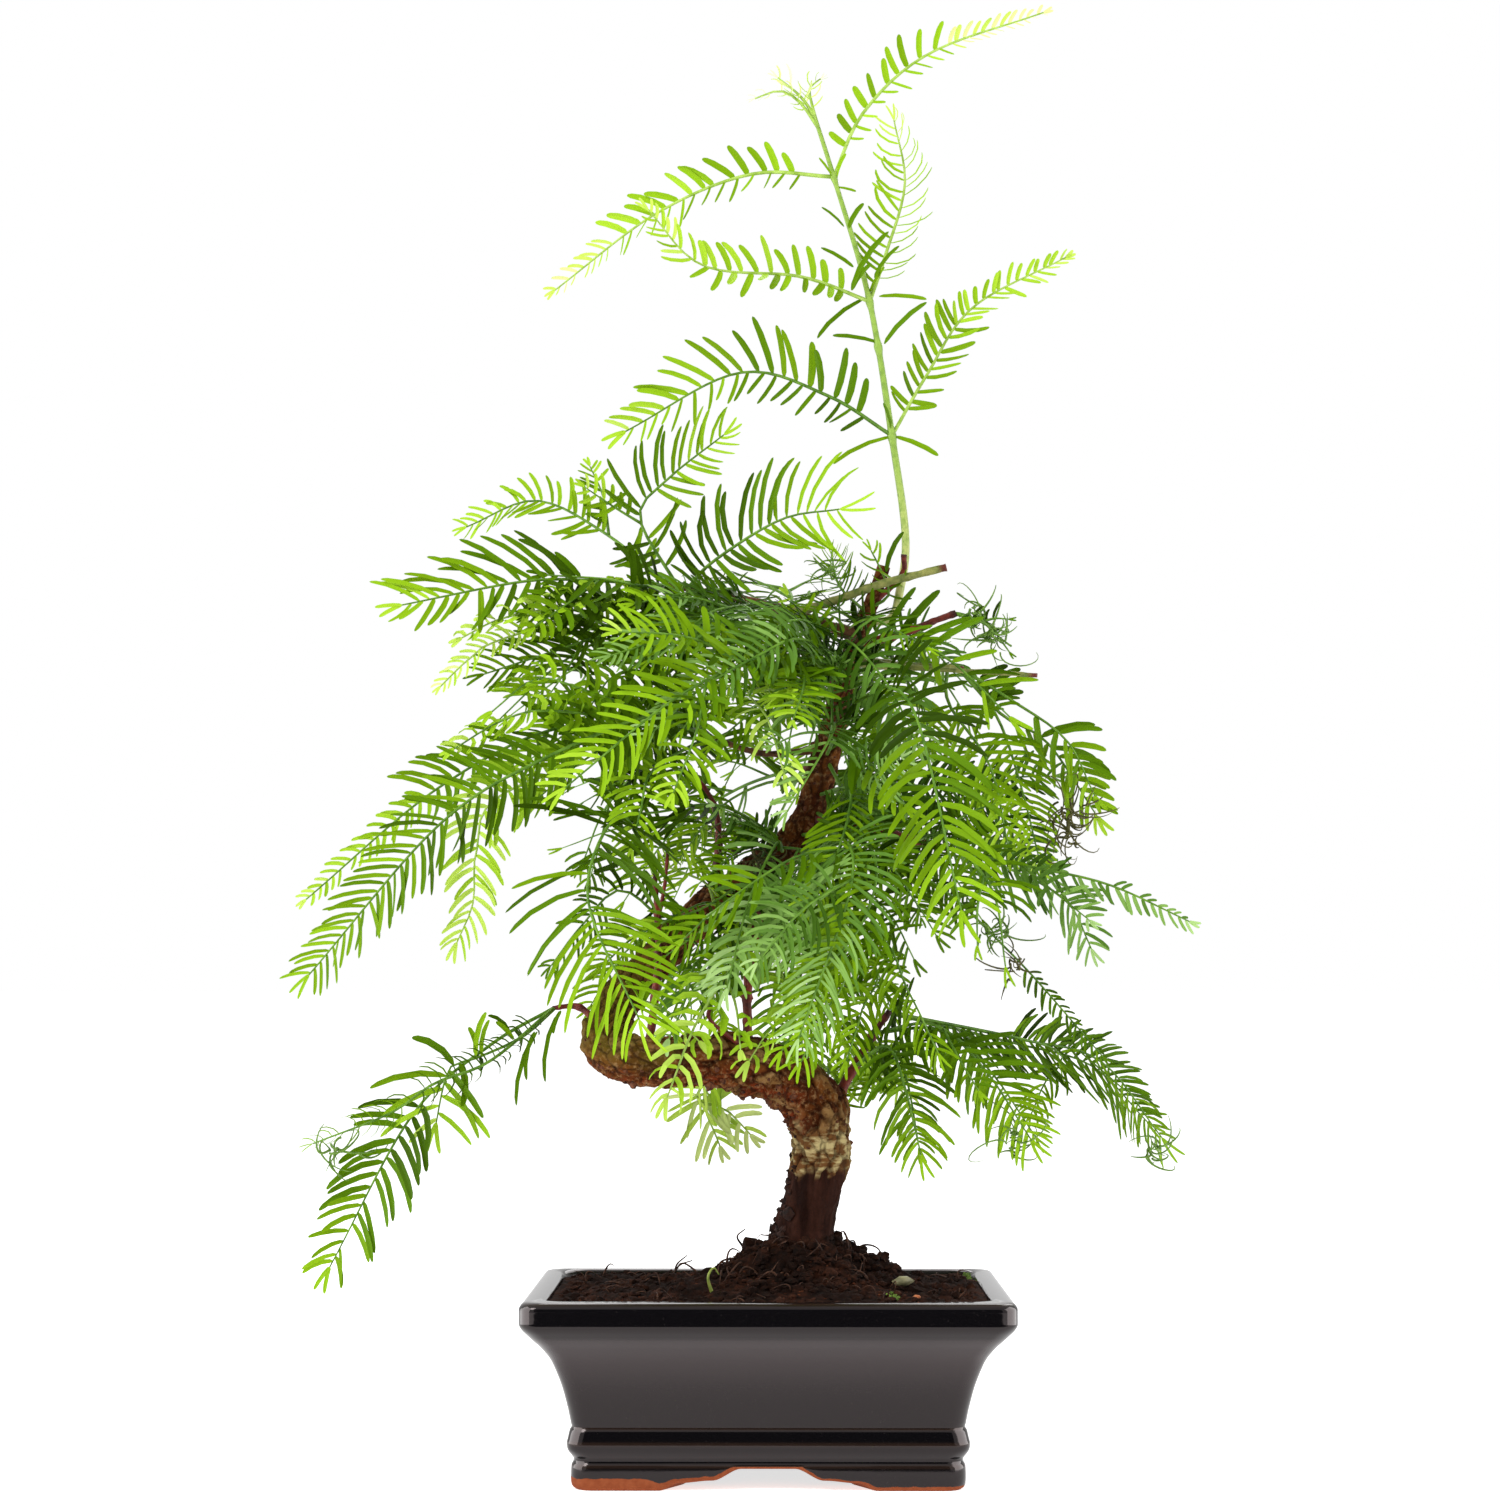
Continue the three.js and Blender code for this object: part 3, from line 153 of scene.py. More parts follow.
MASSES = {
    "tip": mass("leader", [(13, 1, 537), (4, 2, 545)], 10, 0, 75, 3, 1),
    "high_right": mass("leader", [(38, -8, 528), (63, -18, 549), (112, -28, 565)], 11, 0, 78, 3, 2,
                       side=0.93),
    "high_left": mass("leader", [(-7, 3, 506), (-45, 7, 491), (-85, 10, 461)], 12, 0, 76, 3, 3, side=0.925),
    "second_left": mass("leader", [(13, -12, 461), (-25, -26, 462), (-46, -33, 482)], 11, 0, 70, 2, 4,
                        side=0.74),
    "second_right": mass("leader", [(47, 8, 475), (55, 14, 505), (51, 20, 533)], 17, 0, 88, 3, 5, side=0.735),
    "third_left": mass("leader", [(23, -12, 414), (-11, -26, 420), (-54, -38, 395)], 20, 0, 80, 2, 6,
                       side=0.42),
    "third_right": mass("leader", [(63, 8, 426), (82, 15, 455), (120, 22, 477)], 12, 0, 80, 3, 7, side=0.415),
    "crest": mass("upper_left", [(-46, -6, 368), (-35, -12, 382), (-13, -20, 398)], 14, 1, 80, 2, 8,
                  side=0.95),
    "crest_far": mass("upper_left", [(-65, 14, 364), (-93, 20, 378), (-121, 24, 368)], 14, 1, 64, 2, 9),
    "fan": mass("upper_left", [(-21, -18, 348), (5, -32, 362), (35, -44, 368)], 25, 0, 84, 1, 10, side=0.9),
    "out_left": mass("upper_left", [(-69, -22, 347), (-97, -34, 340), (-141, -50, 327)], 22, 1, 72, 1, 11,
                     side=0.99, fork=0.3, angle=34),
    "under_left": mass("upper_left", [(-51, -20, 324), (-77, -32, 313), (-107, -40, 302)], 19, 3, 66, 0, 12,
                       side=0.84),
    "behind_left": mass("upper_left", [(-46, 28, 324), (-78, 48, 314), (-106, 64, 296)], 20, 2, -20, 1, 13,
                        side=0.7),
    "brow": mass("upper_left", [(-11, -22, 330), (-23, -44, 324), (-35, -62, 310)], 20, 3, 45, 0, 14,
                 side=0.5),
    "crown": mass("upper_left", [(9, 16, 340), (3, 34, 344), (-5, 52, 336)], 18, 3, 0, 1, 15, side=0.36,
                  long=1.3),
    "ruffle": mass("upper_right", [(85, -12, 324), (93, -16, 313)], 10, 1, 70, 0, 16),
    "right_shoulder": mass("right_twig", [(95, 10, 294), (113, 11, 283), (132, 9, 254)], 18, 1, 66, 1, 17),
    "right_top": mass("trunk", [(45, -24, 320), (65, -32, 310), (85, -38, 288)], 20, 3, 70, 0, 41,
                      side=0.905),
    "right_face": mass("trunk", [(43, -36, 298), (55, -66, 282), (63, -90, 216)], 22, 2, 84, 2, 18,
                       side=0.87),
    "face": mass("trunk", [(11, -38, 311), (-11, -60, 303), (-37, -76, 287), (-73, -86, 256)], 23, 3, 74, 1,
                 19, side=0.885),
    "bib": mass("trunk", [(25, -30, 284), (23, -60, 276), (7, -74, 248)], 18, 2, 78, 0, 20, side=0.81),
    "long_upper": mass("left_mid", [(-79, -16, 284), (-125, -28, 262), (-173, -42, 215)], 16, 0, 64, 2, 21),
    "long_lower": mass("left_mid", [(-39, -34, 286), (-83, -54, 266), (-123, -62, 240), (-169, -70, 186)], 20,
                       1, 66, 1, 22, side=0.82, fork=0.6, angle=72, hand=-1),
    "left_fill": mass("left_mid", [(-50, 10, 297), (-72, 14, 289), (-94, 16, 274)], 20, 2, 66, 1, 42,
                      side=0.84),
    "inner": mass("red_shoot", [(-47, 22, 272), (-65, 34, 256), (-75, 44, 234)], 18, 3, 50, 0, 23, long=1.2),
    "big_hang": mass("red_left", [(-53, -46, 246), (-64, -68, 217), (-51, -74, 168)], 27, 0, 82, 2, 24),
    "low_left_hang": mass("low_left", [(-107, -4, 162), (-135, -20, 136), (-164, -32, 80)], 20, 1, 70, 1, 25,
                          fork=0.4, angle=30),
    "lap": mass("red_mid", [(-14, -42, 192), (-27, -54, 170), (-37, -58, 144)], 14, 1, 78, 3, 26),
    "under_bend": mass("trunk", [(-25, 10, 142), (-19, 18, 122)], 14, 0, 88, 3, 27, side=0.24),
    "right_far": mass("right_mid", [(99, -24, 230), (129, -27, 223), (159, -30, 209)], 16, 1, 70, 1, 28,
                      fork=0.3, angle=30, hand=1),
    "right_drop": mass("right_mid", [(67, -40, 240), (83, -54, 220), (87, -62, 192)], 19, 2, 80, 1, 29,
                       side=0.78),
    "right_hang": mass("trunk", [(51, 14, 264), (85, 22, 258), (111, 20, 228)], 18, 2, 76, 1, 43, side=0.78),
    "diagonal": mass("trunk", [(59, 12, 228), (99, 18, 198), (155, 14, 126)], 13, 1, 66, 0, 30, side=0.7),
    "skirt_out": mass("low_right", [(77, 14, 170), (109, 24, 153), (141, 24, 128)], 17, 0, 56, 1, 31),
    "skirt_mid": mass("low_right", [(63, -22, 170), (81, -30, 154), (98, -34, 128)], 17, 1, 74, 1, 32,
                      side=0.8, angle=30, hand=1),
    "skirt_in": mass("low_right", [(45, -22, 162), (51, -32, 148), (57, -38, 122)], 16, 0, 80, 1, 33,
                     side=0.5),
    "centre_fan": mass("trunk", [(28, -46, 240), (30, -70, 220), (11, -82, 166)], 23, 2, 82, 1, 34,
                       side=0.715),
    "centre_left": mass("trunk", [(3, -34, 238), (-7, -56, 216), (-15, -66, 184)], 20, 2, 80, 1, 35,
                        side=0.69),
    "back_crest": mass("back_high", [(29, 78, 314), (21, 104, 298), (13, 122, 270)], 21, 4, -35, 1, 37,
                       long=1.5),
    "back_left": mass("back_mid", [(-13, 78, 266), (-41, 92, 248), (-61, 100, 220)], 20, 4, -40, 1, 38,
                      long=1.5),
    "back_right": mass("back_mid", [(41, 66, 264), (67, 80, 244), (89, 84, 212)], 20, 4, -40, 0, 39, side=0.8,
                       long=1.5),
    "back_fall": mass("back_low", [(1, 92, 202), (19, 104, 180), (39, 108, 150)], 20, 4, -50, 1, 40,
                      long=1.5),
}

SPREAD = (68.0, 40.0)  # degrees between needle and stem, root to tip
DROOP = 0.1  # how far a needle's tip hangs under the spray's face, as a share of its length
BARE = 0.1  # the least share of a spray's stem before its first needle

# Side sprays: degrees from the stem, shares of its length and of its longest needle, the
# shares of the stem between which they start and how far they stray from there, how much
# shorter they are towards its tip, and how far they sag and rise towards the face.
TWIG = {
    "angle": 42.0, "length": 0.4, "needle": 0.74, "first": 0.24, "last": 0.6, "stray": 0.06,
    "shorter": 0.35, "sag": 0.08, "lean": 0.12,
}
# Two finer ones below them, a step apart.
FINE_TWIG = {"angle": 50, "length": 0.2, "needle": 0.55, "first": 0.15, "step": 0.12, "scale": 0.7}


# ------------------------------------------------------------------ small tools

WORD = 0xFFFFFFFF  # scrambled numbers are kept to 32 bits
SPREADERS = np.array([374761393, 668265263, 1442695041])  # a large odd number for each index
SEED_SPREADER = 974634777


def linear(code):
    """An sRGB hex colour as linear red, green, blue and full alpha."""
    parts = [int(code[i : i + 2], 16) / 255 for i in (1, 3, 5)]
    return tuple(c / 12.92 if c <= 0.04045 else ((c + 0.055) / 1.055) ** 2.4 for c in parts) + (1.0,)


def seeded(seed):
    """The source's own stream of numbers from 0 to 1 (mulberry32), so twigs stand in the same places."""
    state = [seed & WORD]

    def draw():
        state[0] = (state[0] + 0x6D2B79F5) & WORD
        a = state[0]
        t = ((a ^ (a >> 15)) * (1 | a)) & WORD
        t = ((t + (((t ^ (t >> 7)) * (61 | t)) & WORD)) & WORD) ^ t
        return ((t ^ (t >> 14)) & WORD) / (WORD + 1)

    return draw


def unit(v):
    """Vectors of length 1 along the last axis."""
    return v / np.maximum(np.linalg.norm(v, axis=-1, keepdims=True), 1e-9)


def smooth(low, high, x):
    """0 at low, 1 at high, and a soft S between them; low may be the larger of the two."""
    t = np.clip((x - low) / (high - low), 0, 1)
    return t * t * (3 - 2 * t)


def lattice(cell, seed):
    """A number from 0 to 1 for each whole-number cell, its three indices scrambled with the seed."""
    h = ((cell * SPREADERS).sum(axis=-1) + seed * SEED_SPREADER) & WORD
    h = ((h ^ (h >> 13)) * 1274126177) & WORD
    return ((h ^ (h >> 16)) & 0xFFFF) / 0xFFFF


def noise(p, seed):
    """A smooth random field: the eight corners of each unit cell blended by a soft S."""
    cell = np.floor(p).astype(np.int64)
    share = smooth(0, 1, p - cell)
    total = np.zeros(p.shape[:-1])
    for step in np.ndindex(2, 2, 2):
        corner = np.array(step)
        total += np.prod(np.where(corner == 1, share, 1 - share), axis=-1) * lattice(cell + corner, seed)
    return total


def fractal(p, seed, layers=4):
    """Noise summed over layers, each of half the pitch and half the height of the one before it,
    from about 0 to 1."""
    return sum(noise(p * 2**k, seed + k) / 2**k for k in range(layers)) / (2 - 0.5 ** (layers - 1))


def rough(place, seed, pitch, height, layers=3):
    """Fractal noise over places in millimetres, as far up as down: `pitch` is the breadth of its
    largest lumps, and `height` reaches from its lowest to its highest."""
    return (fractal(place / pitch, seed, layers) - 0.5) * height


def bell(x, middle, breadth):
    """1 at the middle, falling off on both sides as a Gauss curve to 0.37 at its breadth."""
    return np.exp(-(((x - middle) / breadth) ** 2))


def plates(p, seed):
    """Cells of a scattered pattern (Worley): for each place the gap between its nearest and second
    nearest seed, which is 0 along the cracks, a random number kept by the cell, and how far the
    place lies along the third axis from the cell's seed."""
    base = np.floor(p).astype(np.int64)
    near = np.full(p.shape[:-1], 9.0)  # farther than any seed
    second = near.copy()
    owner = np.zeros(p.shape[:-1])
    ahead = np.zeros(p.shape[:-1])
    for step in np.ndindex(3, 3, 3):
        cell = base + np.array(step) - 1
        spot = cell + np.stack([lattice(cell, seed + k) for k in range(3)], axis=-1)
        gap = np.linalg.norm(p - spot, axis=-1)
        closer = gap < near
        second = np.where(closer, near, np.minimum(second, gap))
        owner = np.where(closer, lattice(cell, seed + 7), owner)
        ahead = np.where(closer, (p - spot)[..., 2], ahead)
        near = np.minimum(near, gap)
    return second - near, owner, ahead


class Path:
    """A smooth path through the places given, read by share of its length. Each stretch is a
    cubic whose slope at a place is half the step between the two places beside it (Catmull-Rom)."""

    def __init__(self, places):
        p = np.array(places, float)
        p = np.vstack([2 * p[0] - p[1], p, 2 * p[-1] - p[-2]])
        shares = np.linspace(0, 1, 16, endpoint=False)[:, None]
        stretches = []
        for i in range(len(p) - 3):
            s = np.append(shares, [[1.0]], axis=0) if i == len(p) - 4 else shares
            before = -s + 2 * s**2 - s**3
            start = 2 - 5 * s**2 + 3 * s**3
            end = s + 4 * s**2 - 3 * s**3
            after = s**3 - s**2
            stretches.append((before * p[i] + start * p[i + 1] + end * p[i + 2] + after * p[i + 3]) / 2)
        self.fine = np.vstack(stretches)
        step = np.linalg.norm(np.diff(self.fine, axis=0), axis=1)
        self.run = np.append(0, np.cumsum(step))
        self.length = self.run[-1]

    def at(self, u):
        """The place at each share of the length."""
        s = np.clip(u, 0, 1) * self.length
        return np.stack([np.interp(s, self.run, self.fine[:, k]) for k in range(3)], axis=-1)

    def way(self, u):
        """The direction at each share: from the place 1% before it to the one 1% after it."""
        u = np.asarray(u, float)
        return unit(self.at(np.minimum(u + 0.01, 1)) - self.at(np.maximum(u - 0.01, 0)))


def piece(name, points, faces, material, slot, stands_for=(), soft=True, fields=None):
    """Puts points in millimetres and their faces into a mesh that stands at the origin, with any named fields
    stored on its points, links it into the scene under the root body, and hides the parts of model.glb that
    it stands for."""
    mesh = bpy.data.meshes.new(name)
    places = np.asarray(points) * MM + POT_MIDDLE
    mesh.from_pydata(places.tolist(), [], [list(map(int, face)) for face in faces])
    mesh.materials.append(material)
    mesh.polygons.foreach_set("use_smooth", np.full(len(mesh.polygons), soft))
    for key, values in (fields or {}).items():
        stored = mesh.attributes.new(key, "FLOAT", "POINT")
        stored.data.foreach_set("value", np.asarray(values, np.float32))
    mesh.validate()
    mesh.update()
    thing = bpy.data.objects.new(name, mesh)
    bpy.context.scene.collection.objects.link(thing)
    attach(thing, "root")
    if stands_for:
        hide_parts(*stands_for)


def grid_faces(rows, columns):
    """Quads between the rows of a grid whose columns run round a ring."""
    row, column = np.meshgrid(np.arange(rows - 1), np.arange(columns), indexing="ij")
    here = (row * columns + column).ravel()
    beside = (row * columns + (column + 1) % columns).ravel()
    return np.stack([here, beside, beside + columns, here + columns], axis=1)


def capped(rings):
    """A stack of rings (rows, columns, 3) as points and faces, both ends closed by a fan."""
    rows, columns, _ = rings.shape
    middles = np.stack([rings[0].mean(0), rings[-1].mean(0)])
    points = np.vstack([rings.reshape(-1, 3), middles])
    here = np.arange(columns)
    beside = (here + 1) % columns
    first = np.stack([beside, here, np.full(columns, rows * columns)], axis=1)
    last = (rows - 1) * columns + np.stack([here, beside, np.full(columns, columns + 1)], axis=1)
    return points, grid_faces(rows, columns).tolist() + first.tolist() + last.tolist()


def ring_frames(path, u):
    """The way along a path at each share and two directions across it: a fixed axis laid square
    to the way, and their cross. The axis is the one that the path runs along least."""
    way = path.way(u)
    handicap = np.array([0.02, 0, 0.01])  # of two axes as good, Y comes first and X last
    fixed = np.eye(3)[np.argmin(np.abs(way).max(axis=0) + handicap)]
    side = unit(fixed - way * (way @ fixed)[:, None])
    return way, side, np.cross(way, side)


def limb(path, radius, rings, sides, relief=None, flat_start=False):
    """A round limb: at each share u of the path a circle of radius(u, angle), each point then
    moved out by relief(u, angle, place) in millimetres. With a flat start its first ring lies
    level. Returns the points, the faces, and the share and the angle of each point."""
    u = np.linspace(0, 1, rings)
    angle = np.linspace(0, 2 * np.pi, sides, endpoint=False)
    way, side, other = ring_frames(path, u)
    if flat_start:
        way[0] = (0, 0, 1)
        side[0] = unit(side[0] * (1, 1, 0))
        other[0] = np.cross(way[0], side[0])
    out = side[:, None] * np.cos(angle)[:, None] + other[:, None] * np.sin(angle)[:, None]
    reach = np.broadcast_to(radius(u[:, None], angle[None]), (rings, sides))
    places = path.at(u)[:, None] + out * reach[..., None]
    if relief is not None:
        places = places + out * relief(u[:, None], angle[None], places)[..., None]
    points, faces = capped(places)
    share_of_point = np.append(np.repeat(u, sides), [0, 1])
    angle_of_point = np.append(np.tile(angle, rings), [0, 0])
    return points, faces, share_of_point, angle_of_point


class Heap:
    """Many small closed shapes gathered into one mesh."""

    def __init__(self):
        self.points, self.faces, self.count = [], [], 0

    def add(self, points, faces):
        """Adds one shape, its faces counted on from the points before it."""
        self.points.append(points)
        self.faces += [[k + self.count for k in face] for face in faces]
        self.count += len(points)

    def to_piece(self, name, material, slot, **more):
        """Makes all the shapes into one piece."""
        piece(name, np.vstack(self.points), self.faces, material, slot, **more)


# ------------------------------------------------------------------ materials

FINE_LAYERS = 0.55  # how strong each finer layer of a noise is beside the one before it


def node(tree, kind, settings=None, values=None, links=None):
    """Adds one node: its settings by name, then values and links for its sockets by name or number."""
    made = tree.nodes.new(kind)
    for key, value in (settings or {}).items():
        setattr(made, key, value)
    for key, value in (values or {}).items():
        made.inputs[key].default_value = value
    for key, source in (links or {}).items():
        tree.links.new(source, made.inputs[key])
    return made


def new_material(name, roughness, colour=None, **inputs):
    """A Principled material with its plain numbers on its own sockets; returns it, its tree and shader."""
    material = bpy.data.materials.new(name)
    material.use_nodes = True
    tree = material.node_tree
    shader = tree.nodes["Principled BSDF"]
    shader.inputs["Roughness"].default_value = roughness
    if colour:
        shader.inputs["Base Color"].default_value = linear(colour)
    for key, value in inputs.items():
        shader.inputs[key.replace("_", " ")].default_value = value
    return material, tree, shader


def pattern(tree, pitch, detail=3.0, stretch=(1.0, 1.0, 1.0)):
    """Noise on the object's own coordinates whose blotches are about `pitch` millimetres across."""
    where = node(tree, "ShaderNodeTexCoord").outputs["Object"]
    scaled = node(tree, "ShaderNodeMapping", values={"Scale": stretch}, links={"Vector": where})
    values = {"Scale": 1 / (pitch * MM), "Detail": detail, "Roughness": FINE_LAYERS}
    vector = {"Vector": scaled.outputs["Vector"]}
    return node(tree, "ShaderNodeTexNoise", values=values, links=vector).outputs["Fac"]


def span(tree, value, low, high, to_low=0.0, to_high=1.0):
    """Carries a value's range low..high to to_low..to_high, clamped."""
    values = {"From Min": low, "From Max": high, "To Min": to_low, "To Max": to_high}
    return node(tree, "ShaderNodeMapRange", values=values, links={"Value": value}).outputs["Result"]


def blend(tree, factor, first, second):
    """Two colours mixed by a factor; each is a socket or a hex colour."""
    made = node(tree, "ShaderNodeMix", {"data_type": "RGBA"}, links={"Factor": factor})
    for socket, colour in (("A", first), ("B", second)):
        target = next(i for i in made.inputs if i.name == socket and i.type == "RGBA")
        if isinstance(colour, str):
            target.default_value = linear(colour)
        else:
            tree.links.new(colour, target)
    return next(o for o in made.outputs if o.type == "RGBA")


def bump(tree, shader, height, depth, strength=1.0):
    """Raises the surface by a height field, `depth` millimetres from its lowest to its highest."""
    values = {"Strength": strength, "Distance": depth * MM}
    made = node(tree, "ShaderNodeBump", values=values, links={"Height": height})
    tree.links.new(made.outputs["Normal"], shader.inputs["Normal"])


def field(tree, name):
    """A number stored on the mesh's points."""
    return node(tree, "ShaderNodeAttribute", {"attribute_name": name}).outputs["Fac"]


def glazed_stoneware():
    """Black glaze, glassy and a touch brown where it thins over an edge; where the foot was
    wiped before firing the clay shows bare, orange and matt."""
    tint = linear("#ffefee")
    material, tree, shader = new_material("glazed stoneware", 0.1, IOR=1.39, Specular_Tint=tint)
    # The wiped edge wanders 0.8 mm up and down, in waves 5 mm long.
    waves = {0: pattern(tree, 5.0)}
    wander = node(tree, "ShaderNodeMath", {"operation": "MULTIPLY_ADD"}, {1: 1.6, 2: -0.8}, waves)
    both = {0: field(tree, "bare"), 1: wander.outputs[0]}
    line = node(tree, "ShaderNodeMath", {"operation": "ADD"}, links=both)
    bare = span(tree, line.outputs[0], -0.12, 0.12)
    clay = blend(tree, pattern(tree, 2.2), "#6e3019", "#904f30")
    glaze = blend(tree, span(tree, pattern(tree, 0.8, 2.0), 0.66, 0.78), "#0a090b", "#201d1d")
    # The upper flare is painted a lighter grey: a painted sheen that stands for the glaze's reflection there.
    glaze = blend(tree, field(tree, "painted_sheen"), glaze, "#2e292a")
    glaze = blend(tree, field(tree, "thin"), glaze, "#3a2a20")
    tree.links.new(blend(tree, bare, glaze, clay), shader.inputs["Base Color"])
    tree.links.new(span(tree, bare, 0, 1, 0.1, 0.85), shader.inputs["Roughness"])
    tree.links.new(span(tree, bare, 0, 1, 0.5, 0.1), shader.inputs["Specular IOR Level"])
    bump(tree, shader, pattern(tree, 5.0, 2.0), 0.06, 0.35)
    return material


def potting_soil(name, dark, light):
    """Moist peat and bark fines: near black-brown, matt, with reddish fibres, darkest where it
    is wet."""
    material, tree, shader = new_material(name, 0.95, Specular_IOR_Level=0.05)
    colour = blend(tree, span(tree, pattern(tree, 2.4, 5.0), 0.34, 0.68), dark, light)
    wet = span(tree, pattern(tree, 16.0, 2.0), 0.42, 0.6, 0.75, 0.0)
    tree.links.new(blend(tree, wet, colour, "#0b0503"), shader.inputs["Base Color"])
    bump(tree, shader, pattern(tree, 1.1, 4.0), 0.5, 0.8)
    return material


def old_bark():
    """Scaly dawn redwood bark: plates of red-brown, rusty beneath, some grey, with dark cracks;
    cream where it has flaked above the foot, green with algae on the far bend, dark and damp
    at the foot."""
    material, tree, shader = new_material("scaly bark", 0.9, Specular_IOR_Level=0.04)
    plate = field(tree, "plate")
    flaked = span(tree, pattern(tree, 4.4, 5.0, (0.6, 0.6, 1.5)), 0.45, 0.6)
    cream = blend(tree, flaked, "#6b4726", "#bdab78")
    streaks = span(tree, pattern(tree, 6.0, 4.0, (1.0, 1.0, 0.16)), 0.4, 0.66)
    damp = blend(tree, streaks, "#1d0c07", "#3d2219")
    layers = (  # each covers those before it by a factor
        (field(tree, "rust"), "#6a2c13"),
        (span(tree, plate, 0.74, 0.9, 0.0, 0.75), "#84683f"),  # plates weathered grey
        (span(tree, pattern(tree, 1.6, 6.0), 0.5, 0.7, 0.0, 0.75), "#93714c"),  # pale flakes
        (span(tree, pattern(tree, 2.6, 6.0), 0.5, 0.34, 0.0, 0.9), "#331404"),  # dark pits
        (field(tree, "moss"), "#5a5216"),
        (field(tree, "pale"), cream),
        (field(tree, "wet"), damp),
        (field(tree, "crack"), "#200d05"),
    )
    brown = blend(tree, span(tree, plate, 0.1, 0.9), "#45200a", "#6e4017")
    for factor, colour in layers:
        brown = blend(tree, factor, brown, colour)
    tree.links.new(brown, shader.inputs["Base Color"])
    bump(tree, shader, pattern(tree, 0.9, 4.0), 0.4, 0.8)
    return material


def young_bark(name, first, second, pitch=4.0, roughness=0.6, cut=None):
    """Smooth bark of a season or two, mottled and a little glossy, healed over dark at a cut end."""
    material, tree, shader = new_material(name, roughness, Specular_IOR_Level=0.15)
    colour = blend(tree, span(tree, pattern(tree, pitch), 0.35, 0.65), first, second)
    if cut:
        colour = blend(tree, field(tree, "cut"), colour, cut)
    tree.links.new(colour, shader.inputs["Base Color"])
    bump(tree, shader, pattern(tree, 0.8), 0.12, 0.5)
    return material


def leader_skin():
    """This year's shoot: cream at its foot, yellow-green, then green, satin."""
    material, tree, shader = new_material("green shoot", 0.45, Specular_IOR_Level=0.2)
    colour = blend(tree, field(tree, "rise"), "#b9bc74", "#86a445")
    colour = blend(tree, span(tree, pattern(tree, 3.0, 2.0), 0.45, 0.7), colour, "#6d8d34")
    tree.links.new(colour, shader.inputs["Base Color"])
    return material


def living_leaf(shade):
    """Soft flat needle of one plain green: thin, satin, hardly any shine."""
    material, _, _ = new_material(f"living leaf {shade}", 0.5, SHADES[shade], Specular_IOR_Level=0.03)
    return material


# ------------------------------------------------------------------ pot

CORNERS = ((1, 1), (-1, 1), (-1, -1), (1, -1))  # signs of x and y, anticlockwise


def outline(half_x, half_y, corner, along=150, across=90, turn=13):
    """Points round a rectangle, the same count whatever its size: at each corner a quarter
    circle, and then a straight row of points to the next one."""
    centre = np.array([half_x - corner, half_y - corner])
    parts = []
    for k in range(4):
        here, following = CORNERS[k] * centre, CORNERS[(k + 1) % 4] * centre
        bend = np.linspace(0, np.pi / 2, turn) + k * np.pi / 2
        parts.append(here + corner * np.stack([np.cos(bend), np.sin(bend)], axis=1))
        end = (k + 1) * np.pi / 2
        out = corner * np.array([math.cos(end), math.sin(end)])
        share = np.linspace(0, 1, (across if k % 2 else along) + 2)[1:-1, None]
        parts.append((here + out) + ((following + out) - (here + out)) * share)
    return np.vstack(parts)


def pot_ring(inset, z, rise=0.0, corner=POT["corner"]):
    """One ring of the pot at an inset from the rim's edge, lifted by the cuts in the foot, which
    fade out over the band above it."""
    flat = outline(POT["length"] / 2 - inset, POT["depth"] / 2 - inset, corner)
    height = z + rise * np.clip(1 - z / POT["foot_band"], 0, 1) * np.ones(len(flat))
    return np.column_stack([flat, height])


def cut_height(distance, cuts):
    """Height of a cut at a distance from the middle of its side: soft steps down to nothing."""
    height = np.full(len(distance), cuts[0][2])
    for start, end, high, low in cuts:
        height -= (high - low) * smooth(start, end, distance)
    return height


def foot_rise():
    """How high the foot's edge is cut at each point of its outline."""
    x, y = np.abs(pot_ring(POT["foot_edge"], 0)[:, :2]).T
    on_long_side = y > POT["depth"] / 2 - POT["foot_edge"] - 5
    return np.where(on_long_side, cut_height(x, POT["long_cut"]), cut_height(y, POT["short_cut"]))


def pot_rings(rise):
    """Rings from the recess underneath out over the foot's edge, up the moulded side, over the
    rim and down inside to the floor."""
    foot, recess, inner_corner = POT["foot_edge"], POT["long_cut"][0][2], POT["inner_corner"]
    inner = foot + POT["foot_ring"]
    side = Path([(inset, 0, z) for z, inset in POT["side"]]).at(np.linspace(0, 1, 118))
    hollow = Path([(inset, 0, z) for z, inset in POT["hollow"]]).at(np.linspace(0, 1, 26))
    rings = [pot_ring(inner + POT["recess"], recess), pot_ring(inner, recess)]
    rings += [pot_ring(inner, 0.05, rise * 0.99), pot_ring(foot + 0.6, 0.0, rise)]
    rings += [pot_ring(inset, z, rise) for inset, _, z in side]
    rings += [pot_ring(inset, z, corner=inner_corner) for inset, _, z in hollow]
    rings.append(pot_ring(POT["floor_inset"], POT["floor"], corner=inner_corner))
    return np.stack(rings)


def pot_marks(points, cut):
    """Numbers for the pot's colours: how far each point lies below the wiped line of the foot, how thin the
    glaze runs there, and how much painted sheen lightens the upper flare."""
    x, y, z = points.T
    # The wiped edge is deep at the left of the foot and thins to the right.
    wiped = 1.7 + 2.9 * smooth(-36, -46, x) - 0.7 * smooth(8, 20, x) + 0.7 * smooth(36, 46, x)
    bare = wiped - (z - cut)
    bare[(z > 9) | (np.hypot(x / 60, y / 36) < 0.5)] = -9  # glazed above the foot and under the middle
    thin = sum(bell(z, *band) for band in POT["thin_glaze"])
    # Painted sheen: a lighter band on the upper flare, where the glaze reflects most light.
    painted_sheen = bell(z, *POT["painted_sheen_band"]) * smooth(57.5, 56, z)  # none on the rim
    return {"bare": bare, "thin": 0.4 * np.clip(thin, 0, 1), "painted_sheen": painted_sheen}


